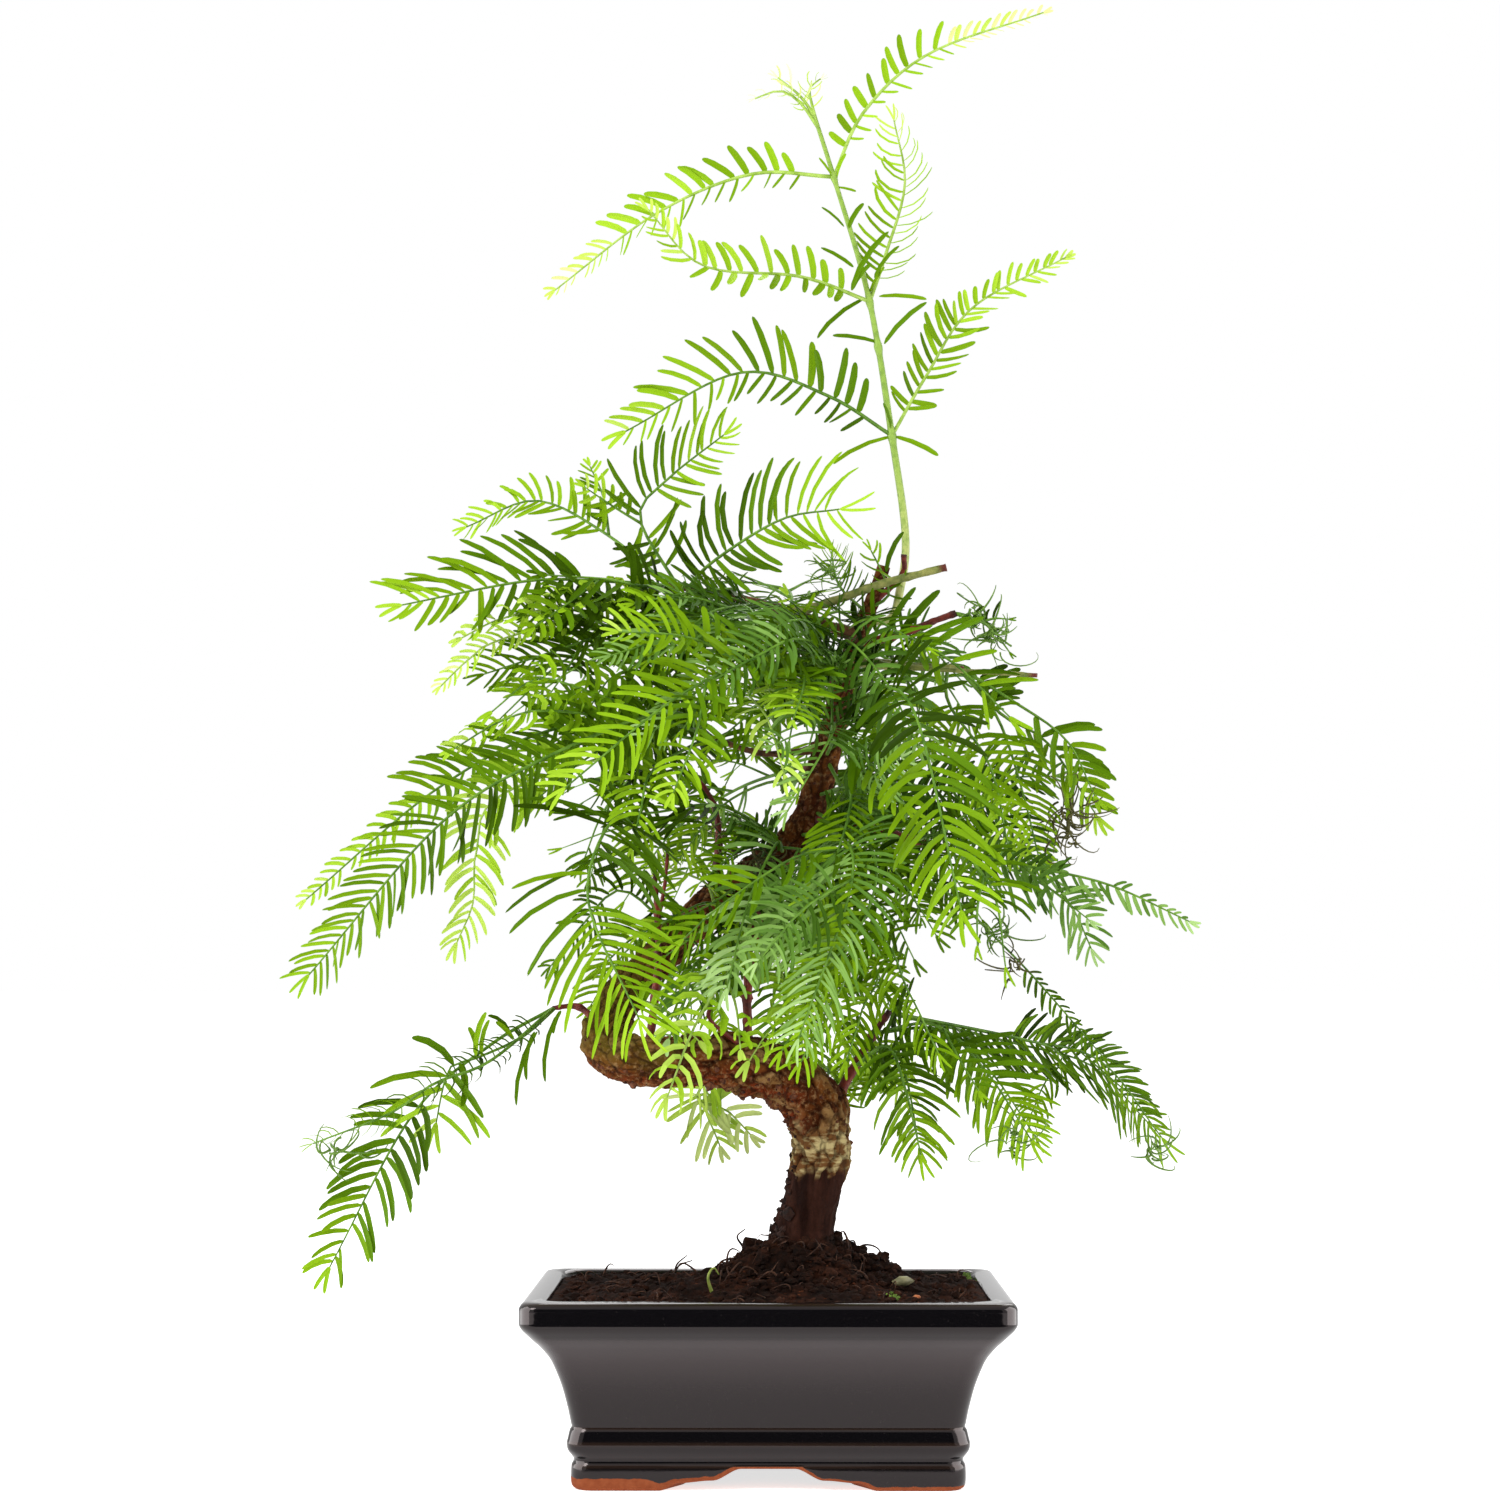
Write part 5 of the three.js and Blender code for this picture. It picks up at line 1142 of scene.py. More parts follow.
# How each mass's sprays look where they are unlike the plain kind: habit and tint; `longer`, a
# factor on its needles; `root`, the share of its limb; `shift`, millimetres added to the places
# it passes; `uneven`, how one row differs; `twig`, the side sprays' tint, or None for no side
# sprays; and `then`, for a spray that changes on its way: from which share, habit, longer, tint.
LOOKS = {
    "tip": dict(habit="sparse", tint=WAN),
    "high_right": dict(habit="open", tint=4, root=0.88, longer=1.15, uneven=THIN_BELOW,
                       shift=[(0, 0, 0), (0, 0, -1), (-5, 0, -4)], then=(0.6, "plain", 0.8, 5)),
    "high_left": dict(habit="open", tint=3, root=0.88, longer=1.3, uneven=THIN_BELOW,
                      then=(0.72, "plain", 0.9, 4)),
    "second_left": dict(habit="open", tint=3, root=0.64, longer=1.3, then=(0.7, "plain", 1.2, 4)),
    "second_right": dict(habit="feather", tint=3, root=0.64, uneven=HAIRY_RIGHT),
    "third_left": dict(habit="open", tint=2, root=0.39, longer=1.15, uneven=((0, 0, -1), 0.75, 0.6, 0)),
    "third_right": dict(habit="broad", tint=3, root=0.39, longer=1.25, then=(0.45, "broad", 0.85, 4)),
    "crest": dict(habit="plain", tint=2, shift=(-4, 0, -1), longer=1.35, uneven=((0, 0, 1), 1.3, 1.0, -6)),
    "crest_far": dict(habit="plain", tint=2),
    "fan": dict(habit="broad", tint=BOLD, longer=1.15, shift=[(0, 0, 0), (0, 0, 0), (-8, 0, -4)],
                then=(0.72, "plain", 1.4, 2)),
    "out_left": dict(habit="bold", tint=BOLD, uneven=SWEPT_ABOVE, shift=[(2, 0, -7), (4, 0, -2), (4, 0, 0)],
                     twig=1, longer=1.05),
    "under_left": dict(habit="plain"),
    "brow": dict(habit="fine", tint=GREY),
    "crown": dict(habit="fine"),
    "ruffle": dict(habit="sparse", longer=0.8),
    "right_shoulder": dict(habit="bold", tint=2, longer=1.1, shift=(-3, 0, -3), twig=None),
    "right_top": dict(habit="open", tint=1, longer=1.15, shift=[(0, 0, 0), (4, 0, -2), (6, 0, -2)],
                      twig=None),
    "right_face": dict(habit="bold", tint=0, longer=1.2, shift=[(0, 0, 0), (0, 0, 0), (6, 0, -4)], twig=None,
                       then=(0.5, "bold", 1.45, 1)),
    "face": dict(habit="broad", tint=2),
    "bib": dict(habit="fine", tint=GREY),
    "long_upper": dict(habit="broad", tint=1, longer=1.2, shift=[(0, 0, 0), (0, 0, -2), (0, 0, 2)],
                       then=(0.6, "plain", 0.65, 3)),
    "long_lower": dict(habit="comb", tint=1, longer=1.1, shift=[(0, 0, 2), (0, 0, 3), (2, 0, 4), (2, 0, 3)],
                       twig=None),
    "left_fill": dict(habit="broad"),
    "big_hang": dict(habit="comb", tint=BOLD, longer=1.3, shift=[(-2, -8, 2), (-1, -14, 0), (5, -14, 5)],
                     twig=None),
    "low_left_hang": dict(habit="scant", tint=1, twig=None, longer=0.7, then=(0.42, "bold", 1.15, 1)),
    "lap": dict(habit="curly", tint=3, longer=1.4),
    "under_bend": dict(habit="bold", tint=5, longer=1.2),
    "right_far": dict(habit="plain", tint=SOFT, uneven=SHORT_ABOVE, twig=SOFT,
                      then=(0.52, "plain", 0.65, SOFT)),
    "right_drop": dict(habit="fine"),
    "right_hang": dict(habit="plain", tint=GREY),
    "diagonal": dict(habit="fine", tint=0, longer=0.75, shift=[(0, 0, 0), (-4, 0, 0), (-24, 0, 31)],
                     twig=None, uneven=SHORT_ABOVE),
    "skirt_out": dict(habit="plain", tint=1, longer=1.55, shift=[(20, 0, -6), (22, 0, 2), (14, 0, -3)],
                      uneven=SHORT_ABOVE),
    "skirt_mid": dict(habit="plain", longer=1.4, tint=1),
    "skirt_in": dict(habit="plain", longer=1.4, tint=1),
    "centre_fan": dict(habit="fine", tint=SOFT),
    "centre_left": dict(habit="plain", tint=SOFT),
    "back_right": dict(habit="fine"),
}

# Openings in the crown, as seen from the front: middle and half breadth and height, in the
# plane of the trunk. No needle stands in them.
GAPS = [
    (-71, 244, 11.7, 9.3), (-74, 260, 5.4, 5.4), (-10, 262, 13, 11), (11, 282, 7.8, 6.2),
    (-33, 282, 4.7, 4.7),
    (-55, 217, 9.3, 5.1), (-29, 219, 7.8, 6.6), (115, 296, 17.5, 8.6), (97, 323, 7.8, 12), (124, 231, 5.8, 7),
    (88, 198, 15, 15.6), (72, 177, 15, 11), (-71, 355, 10, 7), (-56, 367, 6.2, 5.4), (4, 342, 14, 4.7),
    (39, 381, 7.8, 7.8), (-81, 305, 7, 3.9), (-86, 204, 5.4, 10), (-13, 175, 6, 4.7), (24, 271, 5.5, 9),
    (17, 256, 6, 9), (9, 243, 6, 8), (-4, 234, 9, 4.5), (95, 322, 9, 9), (74, 297, 9, 5), (93, 285, 9, 4.5),
    (62, 197, 8, 10), (91, 171, 9, 4), (-105, 292, 8, 5), (-70, 270, 5, 4), (-45, 374, 6, 4),
    (-86, 238, 9, 4),
]

# Finer sprays that fill the crown inside the masses' reach: the limb each springs from and
# the share of its length, the places it passes, longest needle, habit, lean of the face, tint,
# and for one the share of its stem that bears no needles.
FILLERS = [
    ("upper_left", 0.62, [(-9, -22, 328), (-26, -36, 320), (-44, -44, 307)], 18, "fine", 60, 1),
    ("upper_left", 0.72, [(-13, -12, 338), (-30, -24, 335), (-51, -30, 330)], 16, "plain", 58, 1),
    ("upper_left", 0.56, [(-8, -18, 315), (-21, -28, 301), (-32, -32, 282)], 17, "fine", 82, 1),
    ("upper_left", 0.94, [(-64, -25, 317), (-81, -34, 305), (-101, -40, 285)], 19, "broad", 60, 1),
    ("trunk", 0.86, [(-6, -30, 297), (0, -60, 283), (6, -70, 262)], 21, "broad", 76, 4),
    ("trunk", 0.935, [(26, -22, 328), (12, -36, 317), (-4, -46, 310)], 17, "fine", 40, 1),
    ("trunk", 0.93, [(38, -22, 326), (47, -34, 320), (60, -40, 312)], 14, "fine", 50, 1),
    ("trunk", 0.8, [(35, -44, 240), (10, -62, 232), (-16, -66, 215), (-31, -60, 202)], 21, "broad", 66, MID),
    ("trunk", 0.745, [(39, -50, 234), (34, -72, 207), (12, -76, 183)], 20, "plain", 80, MID),
    ("trunk", 0.665, [(3, -16, 246), (-11, -32, 236), (-26, -38, 223)], 15, "fine", 60, 1),
    ("trunk", 0.62, [(38, -36, 206), (52, -46, 183), (63, -48, 160)], 17, "fine", 78, 1),
    ("trunk", 0.6, [(26, -52, 194), (21, -62, 175), (12, -60, 157)], 18, "plain", 82, 1),
    ("right_twig", 0.86, [(70, -12, 293), (85, -18, 269), (92, -20, 236)], 18, "plain", 82, 2),
    ("right_twig", 0.96, [(90, 8, 290), (99, 4, 262), (106, 2, 232)], 16, "fine", 82, 2),
    ("trunk", 0.16, [(58, 30, 154), (39, 26, 147), (25, 24, 141)], 12, "plain", 80, 4),
    ("left_mid", 0.7, [(-49, -20, 281), (-69, -36, 270), (-87, -44, 254)], 19, "broad", 66, 1),
    ("left_mid", 0.86, [(-43, -40, 266), (-47, -56, 250), (-50, -60, 236)], 19, "plain", 78, 2),
    ("trunk", 0.58, [(-27, 30, 212), (-50, 26, 206), (-66, 22, 192)], 15, "fine", 66, 1),
    ("trunk", 0.66, [(18, -46, 220), (-3, -52, 202), (-19, -50, 185)], 20, "plain", 80, SOFT),
    ("trunk", 0.6, [(-24, -16, 224), (-36, -22, 229), (-46, -26, 233)], 11, "fine", 70, 3),
    ("trunk", 0.66, [(4, 4, 230), (-6, 0, 242), (-13, -6, 252)], 12, "fine", 70, 0),
    ("trunk", 0.63, [(-1, 0, 237), (-9, -8, 236), (-18, -14, 231)], 12, "sparse", 60, 0),
    ("trunk", 0.64, [(-1, -2, 233), (-5, -6, 227), (-11, -10, 216)], 13, "fine", 76, 0),
    ("trunk", 0.55, [(-57, 10, 222), (-73, 8, 208), (-85, 6, 192)], 12, "fine", 70, 0),
    ("trunk", 0.7, [(-18, -8, 254), (-45, -14, 251), (-74, -20, 250)], 20, "broad", 55, 0),
    ("trunk", 0.6, [(-26, -12, 216), (-38, -20, 210), (-49, -24, 204)], 12, "fine", 74, 2),
    ("trunk", 0.87, [(29, -30, 316), (44, -44, 299), (56, -52, 274)], 20, "plain", 80, GREY),
    ("trunk", 0.88, [(20, -34, 312), (12, -46, 295), (8, -50, 276)], 17, "fine", 80, GREY),
    ("trunk", 0.8, [(27, -34, 278), (39, -46, 267), (51, -52, 252)], 22, "bold", 72, 1),
    ("trunk", 0.76, [(31, -40, 258), (26, -56, 235), (16, -64, 216)], 18, "fine", 80, 1),
    ("trunk", 0.66, [(31, -44, 207), (19, -58, 185), (5, -60, 161)], 17, "plain", 84, MID),
    ("trunk", 0.62, [(38, -30, 194), (35, -44, 176), (29, -50, 157)], 16, "plain", 84, 1),
    ("upper_left", 0.5, [(-26, -30, 324), (-41, -40, 315), (-59, -48, 308)], 17, "fine", 62, GREY),
    ("trunk", 0.9, [(12, -50, 314), (-3, -60, 307), (-25, -70, 293), (-43, -76, 276)], 18, "fine", 66, GREY),
    ("trunk", 0.91, [(12, -44, 322), (-5, -52, 313), (-19, -60, 309)], 17, "fine", 50, GREY),
    ("trunk", 0.64, [(8, -40, 179), (0, -46, 168), (-7, -48, 157)], 18, "curly", 80, 3),
    ("left_mid", 0.98, [(-99, -32, 258), (-110, -34, 236), (-111, -36, 216), (-117, -36, 201)], 18, "broad",
     82, 4),
    ("leader", 0.975, [(13, 0, 534), (5, -3, 538), (-5, -6, 534)], 8, "wispy", 60, WAN),
    ("leader", 0.985, [(17, 0, 536), (17, 2, 541), (21, 4, 545)], 8, "wispy", 60, WAN),
    ("trunk", 0.26, [(-28, 6, 141), (-17, 8, 137), (-7, 8, 127)], 15, "bold", 84, 5),
    ("upper_left", 0.97, [(-99, -38, 316), (-112, -42, 308), (-123, -44, 297)], 9, "fine", 66, 4),
    ("upper_left", 0.98, [(-87, -40, 326), (-102, -44, 322), (-115, -46, 315)], 12, "curly", 66, 4),
    ("left_mid", 0.9, [(-68, -60, 294), (-86, -60, 298), (-102, -60, 286)], 15, "curly", 70, 1),
    ("left_mid", 0.94, [(-78, -50, 287), (-98, -50, 284), (-117, -50, 273)], 14, "curly", 70, 2),
    ("upper_left", 0.8, [(-48, -40, 307), (-60, -40, 300), (-69, -40, 286)], 18, "bold", 66, 1),
    ("trunk", 0.86, [(1, -20, 294), (-10, -20, 286), (-21, -20, 277)], 16, "plain", 66, 1),
    ("red_mid", 0.5, [(-25, -40, 196), (-31, -40, 179), (-37, -40, 165)], 15, "curly", 80, SOFT),
    ("red_mid", 0.8, [(-12, -30, 198), (-24, -30, 185), (-36, -30, 179)], 14, "fine", 80, 1),
    ("red_left", 0.3, [(-48, -34, 179), (-36, -34, 174), (-26, -34, 164)], 14, "curly", 70, 3),
    ("red_mid", 0.9, [(-14, -34, 214), (-24, -40, 206), (-38, -44, 196)], 16, "fine", 78, 0),
    ("trunk", 0.62, [(-12, -30, 222), (-24, -40, 214), (-40, -46, 208)], 16, "plain", 74, 0),
    ("trunk", 0.72, [(43, -20, 233), (56, -20, 217), (64, -20, 204)], 17, "plain", 76, 0),
    ("trunk", 0.7, [(32, -10, 225), (47, -10, 212), (56, -10, 195)], 17, "plain", 76, 0),
    ("low_right", 0.99, [(112, 18, 160), (108, 18, 146), (103, 18, 134)], 14, "fine", 76, 1),
    ("right_mid", 0.98, [(97, 6, 229), (117, 6, 217), (126, 6, 199)], 17, "plain", 76, SOFT),
    ("right_twig", 0.98, [(95, 8, 297), (117, 8, 281), (128, 8, 259)], 17, "bold", 70, 1),
    ("trunk", 0.95, [(29, -14, 337), (26, -14, 343), (25, -14, 350)], 14, "tuft", 80, 1),
    ("trunk", 0.955, [(47, -10, 336), (44, -12, 345), (40, -12, 353)], 11, "sparse", 80, 1),
    ("low_left", 0.96, [(-95, -2, 165), (-112, -10, 157), (-121, -16, 154), (-124, -18, 145),
                        (-126, -20, 133)], 27, "bold", 78, 2, 0.62),
    ("low_left", 0.98, [(-106, -20, 156), (-126, -28, 148), (-142, -32, 137), (-170, -38, 126)], 12, "wispy",
     66, 1),
    ("low_right", 0.6, [(48, -10, 160), (53, -18, 148), (57, -24, 124)], 15, "fine", 80, 1),
    ("low_right", 0.8, [(66, -12, 168), (84, -18, 153), (101, -22, 128)], 16, "fine", 76, 1),
    ("low_right", 0.98, [(97, 22, 162), (128, 28, 153), (150, 30, 131)], 20, "plain", 56, 1),
    ("upper_left", 0.99, [(-50, -22, 338), (-62, -26, 340), (-84, -30, 341)], 19, "open", 80, 0),
    ("upper_right", 0.3, [(60, 6, 324), (67, 10, 315), (76, 12, 305)], 13, "fine", 70, GREY),
    ("trunk", 0.12, [(39, 20, 163), (47, 18, 154), (54, 16, 140)], 14, "fine", 80, 3),
    ("back_high", 0.35, [(12, 34, 324), (-6, 48, 316), (-24, 56, 298)], 18, "plain", -20, 1),
    ("back_high", 0.5, [(44, 34, 318), (60, 38, 304), (66, 40, 282)], 18, "plain", -10, 1),
    ("back_high", 0.8, [(40, 62, 312), (52, 78, 296), (56, 86, 270)], 19, "plain", -40, 2),
    ("back_high", 0.85, [(12, 62, 306), (-6, 76, 290), (-18, 84, 268)], 19, "broad", -40, 1),
    ("back_mid", 0.35, [(0, 36, 266), (-20, 44, 256), (-36, 50, 236)], 18, "plain", -20, 1),
    ("back_mid", 0.5, [(30, 44, 268), (46, 50, 252), (52, 54, 230)], 18, "plain", -20, 1),
    ("back_mid", 0.95, [(22, 78, 264), (30, 92, 244), (32, 98, 218)], 19, "plain", -50, 2),
    ("back_low", 0.4, [(-26, 50, 214), (-40, 56, 204), (-50, 58, 186)], 17, "plain", -20, 1),
    ("back_low", 0.5, [(4, 52, 212), (18, 58, 200), (24, 62, 180)], 17, "plain", -20, 1),
    ("back_low", 0.95, [(-14, 84, 208), (-20, 94, 192), (-20, 98, 168)], 18, "broad", -50, 2),
    ("trunk", 0.8, [(30, 30, 262), (42, 36, 250), (50, 38, 232)], 18, "plain", -10, 1),
    ("trunk", 0.14, [(24, 30, 152), (18, 42, 146), (12, 48, 130)], 14, "plain", -50, 2),
    ("back_high", 0.7, [(52, 48, 322), (70, 60, 312), (84, 66, 292)], 18, "plain", -20, 1),
    ("back_high", 0.9, [(10, 66, 326), (-18, 84, 322), (-44, 92, 306)], 18, "plain", -30, 1),
    ("back_mid", 0.6, [(44, 56, 284), (66, 70, 282), (92, 76, 262)], 18, "plain", -30, 2),
    ("back_mid", 0.9, [(8, 82, 262), (0, 104, 246), (-10, 114, 220)], 19, "broad", -60, 1),
    ("back_low", 0.8, [(-34, 78, 214), (-58, 84, 200), (-74, 82, 176)], 18, "plain", -50, 1),
    ("back_low", 0.6, [(16, 66, 214), (40, 80, 200), (52, 84, 172)], 18, "plain", -50, 1),
    ("trunk", 0.5, [(-26, 50, 190), (-22, 70, 178), (-14, 82, 156)], 17, "fine", -60, 2),
]

# Needles that stand alone: root, tip, width, tint.
LONE = [
    ((44, 0, 456), (63, -3, 454), 2.3, 2), ((46, 0, 437), (63, -4, 453), 2.2, 1),
    ((45, 0, 437), (25, -6, 439), 2.2, 1),
    ((38, 0, 455), (19, -8, 437), 1.9, 1), ((49, 0, 400), (25, -10, 387), 1.9, 2),
    ((50, 0, 400), (67, -6, 391), 2.6, 2),
    ((27, 0, 503), (31, -6, 512), 1.6, 3), ((27, 0, 502), (20, -7, 510), 1.6, 3),
    ((27, 0, 500), (35, -4, 497), 1.5, 2),
    ((33, -6, 457), (48, -6, 481), 2.2, 1), ((21, -6, 474), (34, -6, 466), 2.0, 1),
    ((33, -6, 457), (41, -6, 468), 2.0, 1),
    ((42, -6, 462), (52, -6, 475), 1.6, 1), ((32, -6, 482), (38, -6, 492), 2.0, 1),
    ((30, -4, 483), (21, -4, 491), 1.3, 1),
    ((-57, -20, 249), (-78, -20, 250), 2.6, 0), ((-25, -20, 247), (-65, -20, 245), 2.4, 0),
    ((-46, -20, 248), (-63, -20, 247), 2.4, 0), ((46, -10, 345), (53, -10, 361), 2.0, 0),
    ((-112, -12, 158), (-108, -12, 175), 2.2, 3), ((-112, -12, 161), (-115, -12, 169), 2.0, 2),
    ((-110, -10, 158), (-107, -10, 172), 1.8, 3), ((-98, -8, 164), (-105, -8, 171), 2.0, 2),
    ((-89, -6, 167), (-97, -6, 138), 1.7, 1), ((-90, -6, 167), (-93, -6, 148), 1.7, 1),
    ((-81, -4, 174), (-86, -4, 147), 1.7, 1), ((-80, -4, 175), (-83, -4, 166), 1.6, 1),
    ((49, 0, 401), (45, -8, 412), 1.7, 1), ((53, -2, 340), (43, -18, 344), 2.2, 2),
    ((40, 0, 457), (46, -8, 466), 1.6, 2),
]

# Curled wisps: the middle of each tangle, its breadth, how many strands curl there, and its
# kind. Each kind has a name and the two colours of its mottling.
WISPS = [
    ((80, -12, 327), 8, 22, 1), ((87, -12, 318), 8, 26, 1), ((117, 4, 253), 9, 24, 0),
    ((118, 4, 242), 6, 12, 0),
    ((150, 12, 120), 6, 14, 1), ((92, -34, 126), 6, 14, 1), ((-13, -4, 243), 10, 22, 0),
    ((-4, -6, 234), 8, 14, 0),
    ((-163, -30, 122), 9, 12, 1), ((88, 10, 205), 8, 16, 1), ((96, 10, 192), 6, 12, 0),
    ((24, -14, 344), 8, 12, 1), ((-30, -24, 336), 7, 8, 1),
]
WISP_KINDS = (("dry_wisps", "#35321a", "#5c5a2c"), ("green_wisps", "#4a6c26", "#6f8f3c"))

rows = []  # the needles' arrays, spray by spray
stems = []  # path, radii at root and tip, and shade of each spray's stem


def leaning(degrees):
    """The way a face looks that leans so many degrees from the sky towards the front."""
    lean = math.radians(degrees)
    return np.array([0, -math.sin(lean), math.cos(lean)])


def across_spray(path, hint, u):
    """At each share of a spray's stem: its place, the way along, the way the face looks, and across."""
    way = path.way(u)
    out = unit(hint - way * (way @ hint)[..., None])
    return path.at(u), way, out, np.cross(way, out)


def in_gap(points):
    """Whether points stand in one of the crown's openings, as the camera sees them."""
    eye = np.array(CAMERA["place"])
    seen = eye + (points - eye) * (-eye[1] / (points[:, 1:2] - eye[1]))
    return sum(((seen[:, 0] - x) / rx) ** 2 + ((seen[:, 2] - z) / rz) ** 2 < 1 for x, z, rx, rz in GAPS) > 0


class Spray:
    """A slim stem with a row of needles down each side. `hint` is the way its face looks, `bare`
    the share of the stem before its first needle, `scale` its size beside a main spray's, `only`
    the share of the rest that bears needles, and `uneven` how one row differs."""

    def __init__(self, path, hint, longest, bare, tint, habit, scale=1.0, only=(0.0, 1.0), uneven=EVEN):
        self.path, self.hint, self.longest, self.bare = path, hint, longest, bare
        self.habit, self.scale, self.only, self.uneven = HABITS[habit], scale, only, uneven
        self.start, self.climb = TINTS[tint]
        newest = len(SHADES) - 1
        self.reach_of_tint = (0, YELLOWEST) if self.start <= YELLOWEST else (YELLOWEST + 1, newest)

    def grow(self, rng, ends=(0.72, 0.26)):
        """Both rows, the tip and the stem, whose radii at root and tip are `ends`. The spray
        draws a fold for each row, and one turn of its needles and one shade for the two."""
        fold = math.radians(self.habit["fold"]) * rng.uniform(0.5, 1.3, 2)
        turn = math.radians(self.habit["turn"]) * rng.uniform(0.7, 1.3)
        lighter = rng.normal(0, STRAY["shade"])
        for hand, row_fold in ((1, fold[0]), (-1, fold[1])):
            out, side = self.row(rng, hand, row_fold, turn, lighter)
        if self.only[1] == 1.0:
            self.tip(out[-1:], side[-1:])
        if self.only[0] == 0.0:
            radii = (ends[0] * (0.5 + 0.5 * self.scale), ends[1] * self.scale)
            stems.append((self.path, radii, self.start + self.climb / 2))

    def row(self, rng, hand, fold, turn, lighter):
        """One row of needles at shares u of the stem, or w of the part that bears them. Their
        length is a sine hump over w that starts at two thirds and ends short, and they narrow
        with its square. The row is folded up out of the face, and no needle stands in a gap."""
        h, scale = self.habit, self.scale
        pairs = max(4, int((1 - self.bare) * self.path.length / (h["pitch"] * scale**0.5)))
        stagger = 0.5 + 0.22 * hand + rng.normal(0, STRAY["place"], pairs)
        u = self.bare + (1 - self.bare) * (np.arange(pairs) + stagger) / pairs
        w = np.clip((u - self.bare) / (1 - self.bare), 0, 1)
        place, way, out, side = across_spray(self.path, self.hint, np.minimum(u, 1))
        keep = (rng.uniform(size=pairs) > h["gaps"]) & (w >= self.only[0]) & (w <= self.only[1])
        lift = (fold + rng.normal(0, STRAY["fold"], pairs))[:, None]
        lateral = hand * side * np.cos(lift) + out * np.sin(lift)
        blade = out * np.cos(lift) - hand * side * np.sin(lift)
        towards, shorter, thinner, wider = self.uneven
        there = smooth(-0.1, 0.3, hand * side @ np.array(towards, float))
        degrees = SPREAD[0] + (SPREAD[1] - SPREAD[0]) * w + rng.normal(0, STRAY["angle"], pairs)
        angle = np.radians(degrees + wider * there)
        hump = np.sin(np.pi * (0.2 + 0.68 * w)) ** 0.75
        length = self.longest * hump * rng.normal(1.0, STRAY["length"], pairs)
        length = length * (1 + (shorter - 1) * there)
        wide = h["width"] * (0.45 + 0.55 * scale) * (1 - 0.38 * w**2)
        wide = wide * rng.normal(1.0, STRAY["width"], pairs) * (1 + (thinner - 1) * there)
        reach = (way * np.cos(angle)[:, None] + lateral * np.sin(angle)[:, None]) * length[:, None]
        keep &= ~(in_gap(place + reach * 0.45) | in_gap(place + reach * 0.85))
        # The second row is dealt half a step darker: painted shade, as on the side of a spray turned from the
        # light.
        shade = self.start + self.climb * w**1.4 + lighter - 0.5 * (hand < 0)
        shade = shade + rng.normal(0, STRAY["shade"], pairs)
        turns = turn * rng.normal(1.0, STRAY["turn"], pairs)
        sag = rng.normal(DROOP, STRAY["sag"], pairs)
        roll = rng.normal(0, h["roll"], pairs)
        shade = np.clip(shade, *self.reach_of_tint)
        values = (place, way, lateral, blade, angle, turns, sag, roll, length, wide, shade)
        rows.append([v[keep] for v in values])
        return out, side

    def tip(self, out, side):
        """Two short needles at the very end of the stem."""
        end = np.array([1.0])
        place, way = self.path.at(end), self.path.way(end)
        shade = min(self.start + self.climb, self.reach_of_tint[1])
        for angle in (0.12, -0.3):
            numbers = (angle, 0.3, 0.0, 0.0, self.longest * 0.45, 0.6 * self.habit["width"], shade)
            rows.append([place, way, side, out] + [np.array([v]) for v in numbers])


def lone_needle(root, tip, width, tint):
    """A single needle from root to tip, turned forward along its length and rolled a little."""
    root, tip = np.array(root, float), np.array(tip, float)
    way = unit(tip - root)
    front = np.array([0.15, -0.75, 0.65])
    out = unit(front - way * (way @ front))
    side = np.cross(way, out)
    shade = TINTS[tint][0] + 0.8
    numbers = (0.0, 0.7, 0.0, 0.2, np.linalg.norm(tip - root), width, shade)
    places = [root, way, side * np.sign(side[2]), out]
    rows.append([v[None] for v in places] + [np.array([float(v)]) for v in numbers])


def twigs_of(m, length):
    """A mass's side twigs as the source draws them, then two finer ones low on the stem. For
    each: share of the stem, side, length, angle, share of the longest needle, and scale."""
    sprout = seeded(m["seed"] * 7919 + 1)
    hand = m["hand"] or (1 if sprout() < 0.5 else -1)
    twigs = []
    for k in range(m["twigs"]):
        share = k / (m["twigs"] - 1) if m["twigs"] > 1 else 0.4
        shift = (sprout() - 0.5) * TWIG["stray"]
        u = m["fork"] if m["fork"] else TWIG["first"] + (TWIG["last"] - TWIG["first"]) * share + shift
        long = length * TWIG["length"] * m["long"] * (1 - TWIG["shorter"] * u) * (0.9 + 0.2 * sprout())
        twigs.append((u, -hand if k % 2 else hand, long, m["angle"] or TWIG["angle"], TWIG["needle"], 0.88))
    if m["twigs"] > 1:
        for k in range(2):
            u = FINE_TWIG["first"] + FINE_TWIG["step"] * k
            long = length * FINE_TWIG["length"] * m["long"]
            turn = hand if k % 2 else -hand
            twigs.append((u, turn, long, FINE_TWIG["angle"], FINE_TWIG["needle"], FINE_TWIG["scale"]))
    return twigs


def twig_path(path, hint, u, turn, long, angle):
    """A twig's path: out from the stem at an angle, bent forward and sagging at its tip."""
    start, along, face, across = (v[0] for v in across_spray(path, hint, np.array([u])))
    a = math.radians(angle)
    way = unit(along * math.cos(a) + across * turn * math.sin(a) + face * TWIG["lean"])
    tip = start + way * long * 0.93 + along * long * 0.14 - np.array([0, 0, long * TWIG["sag"]])
    return Path([start, start + way * long * 0.5, tip])


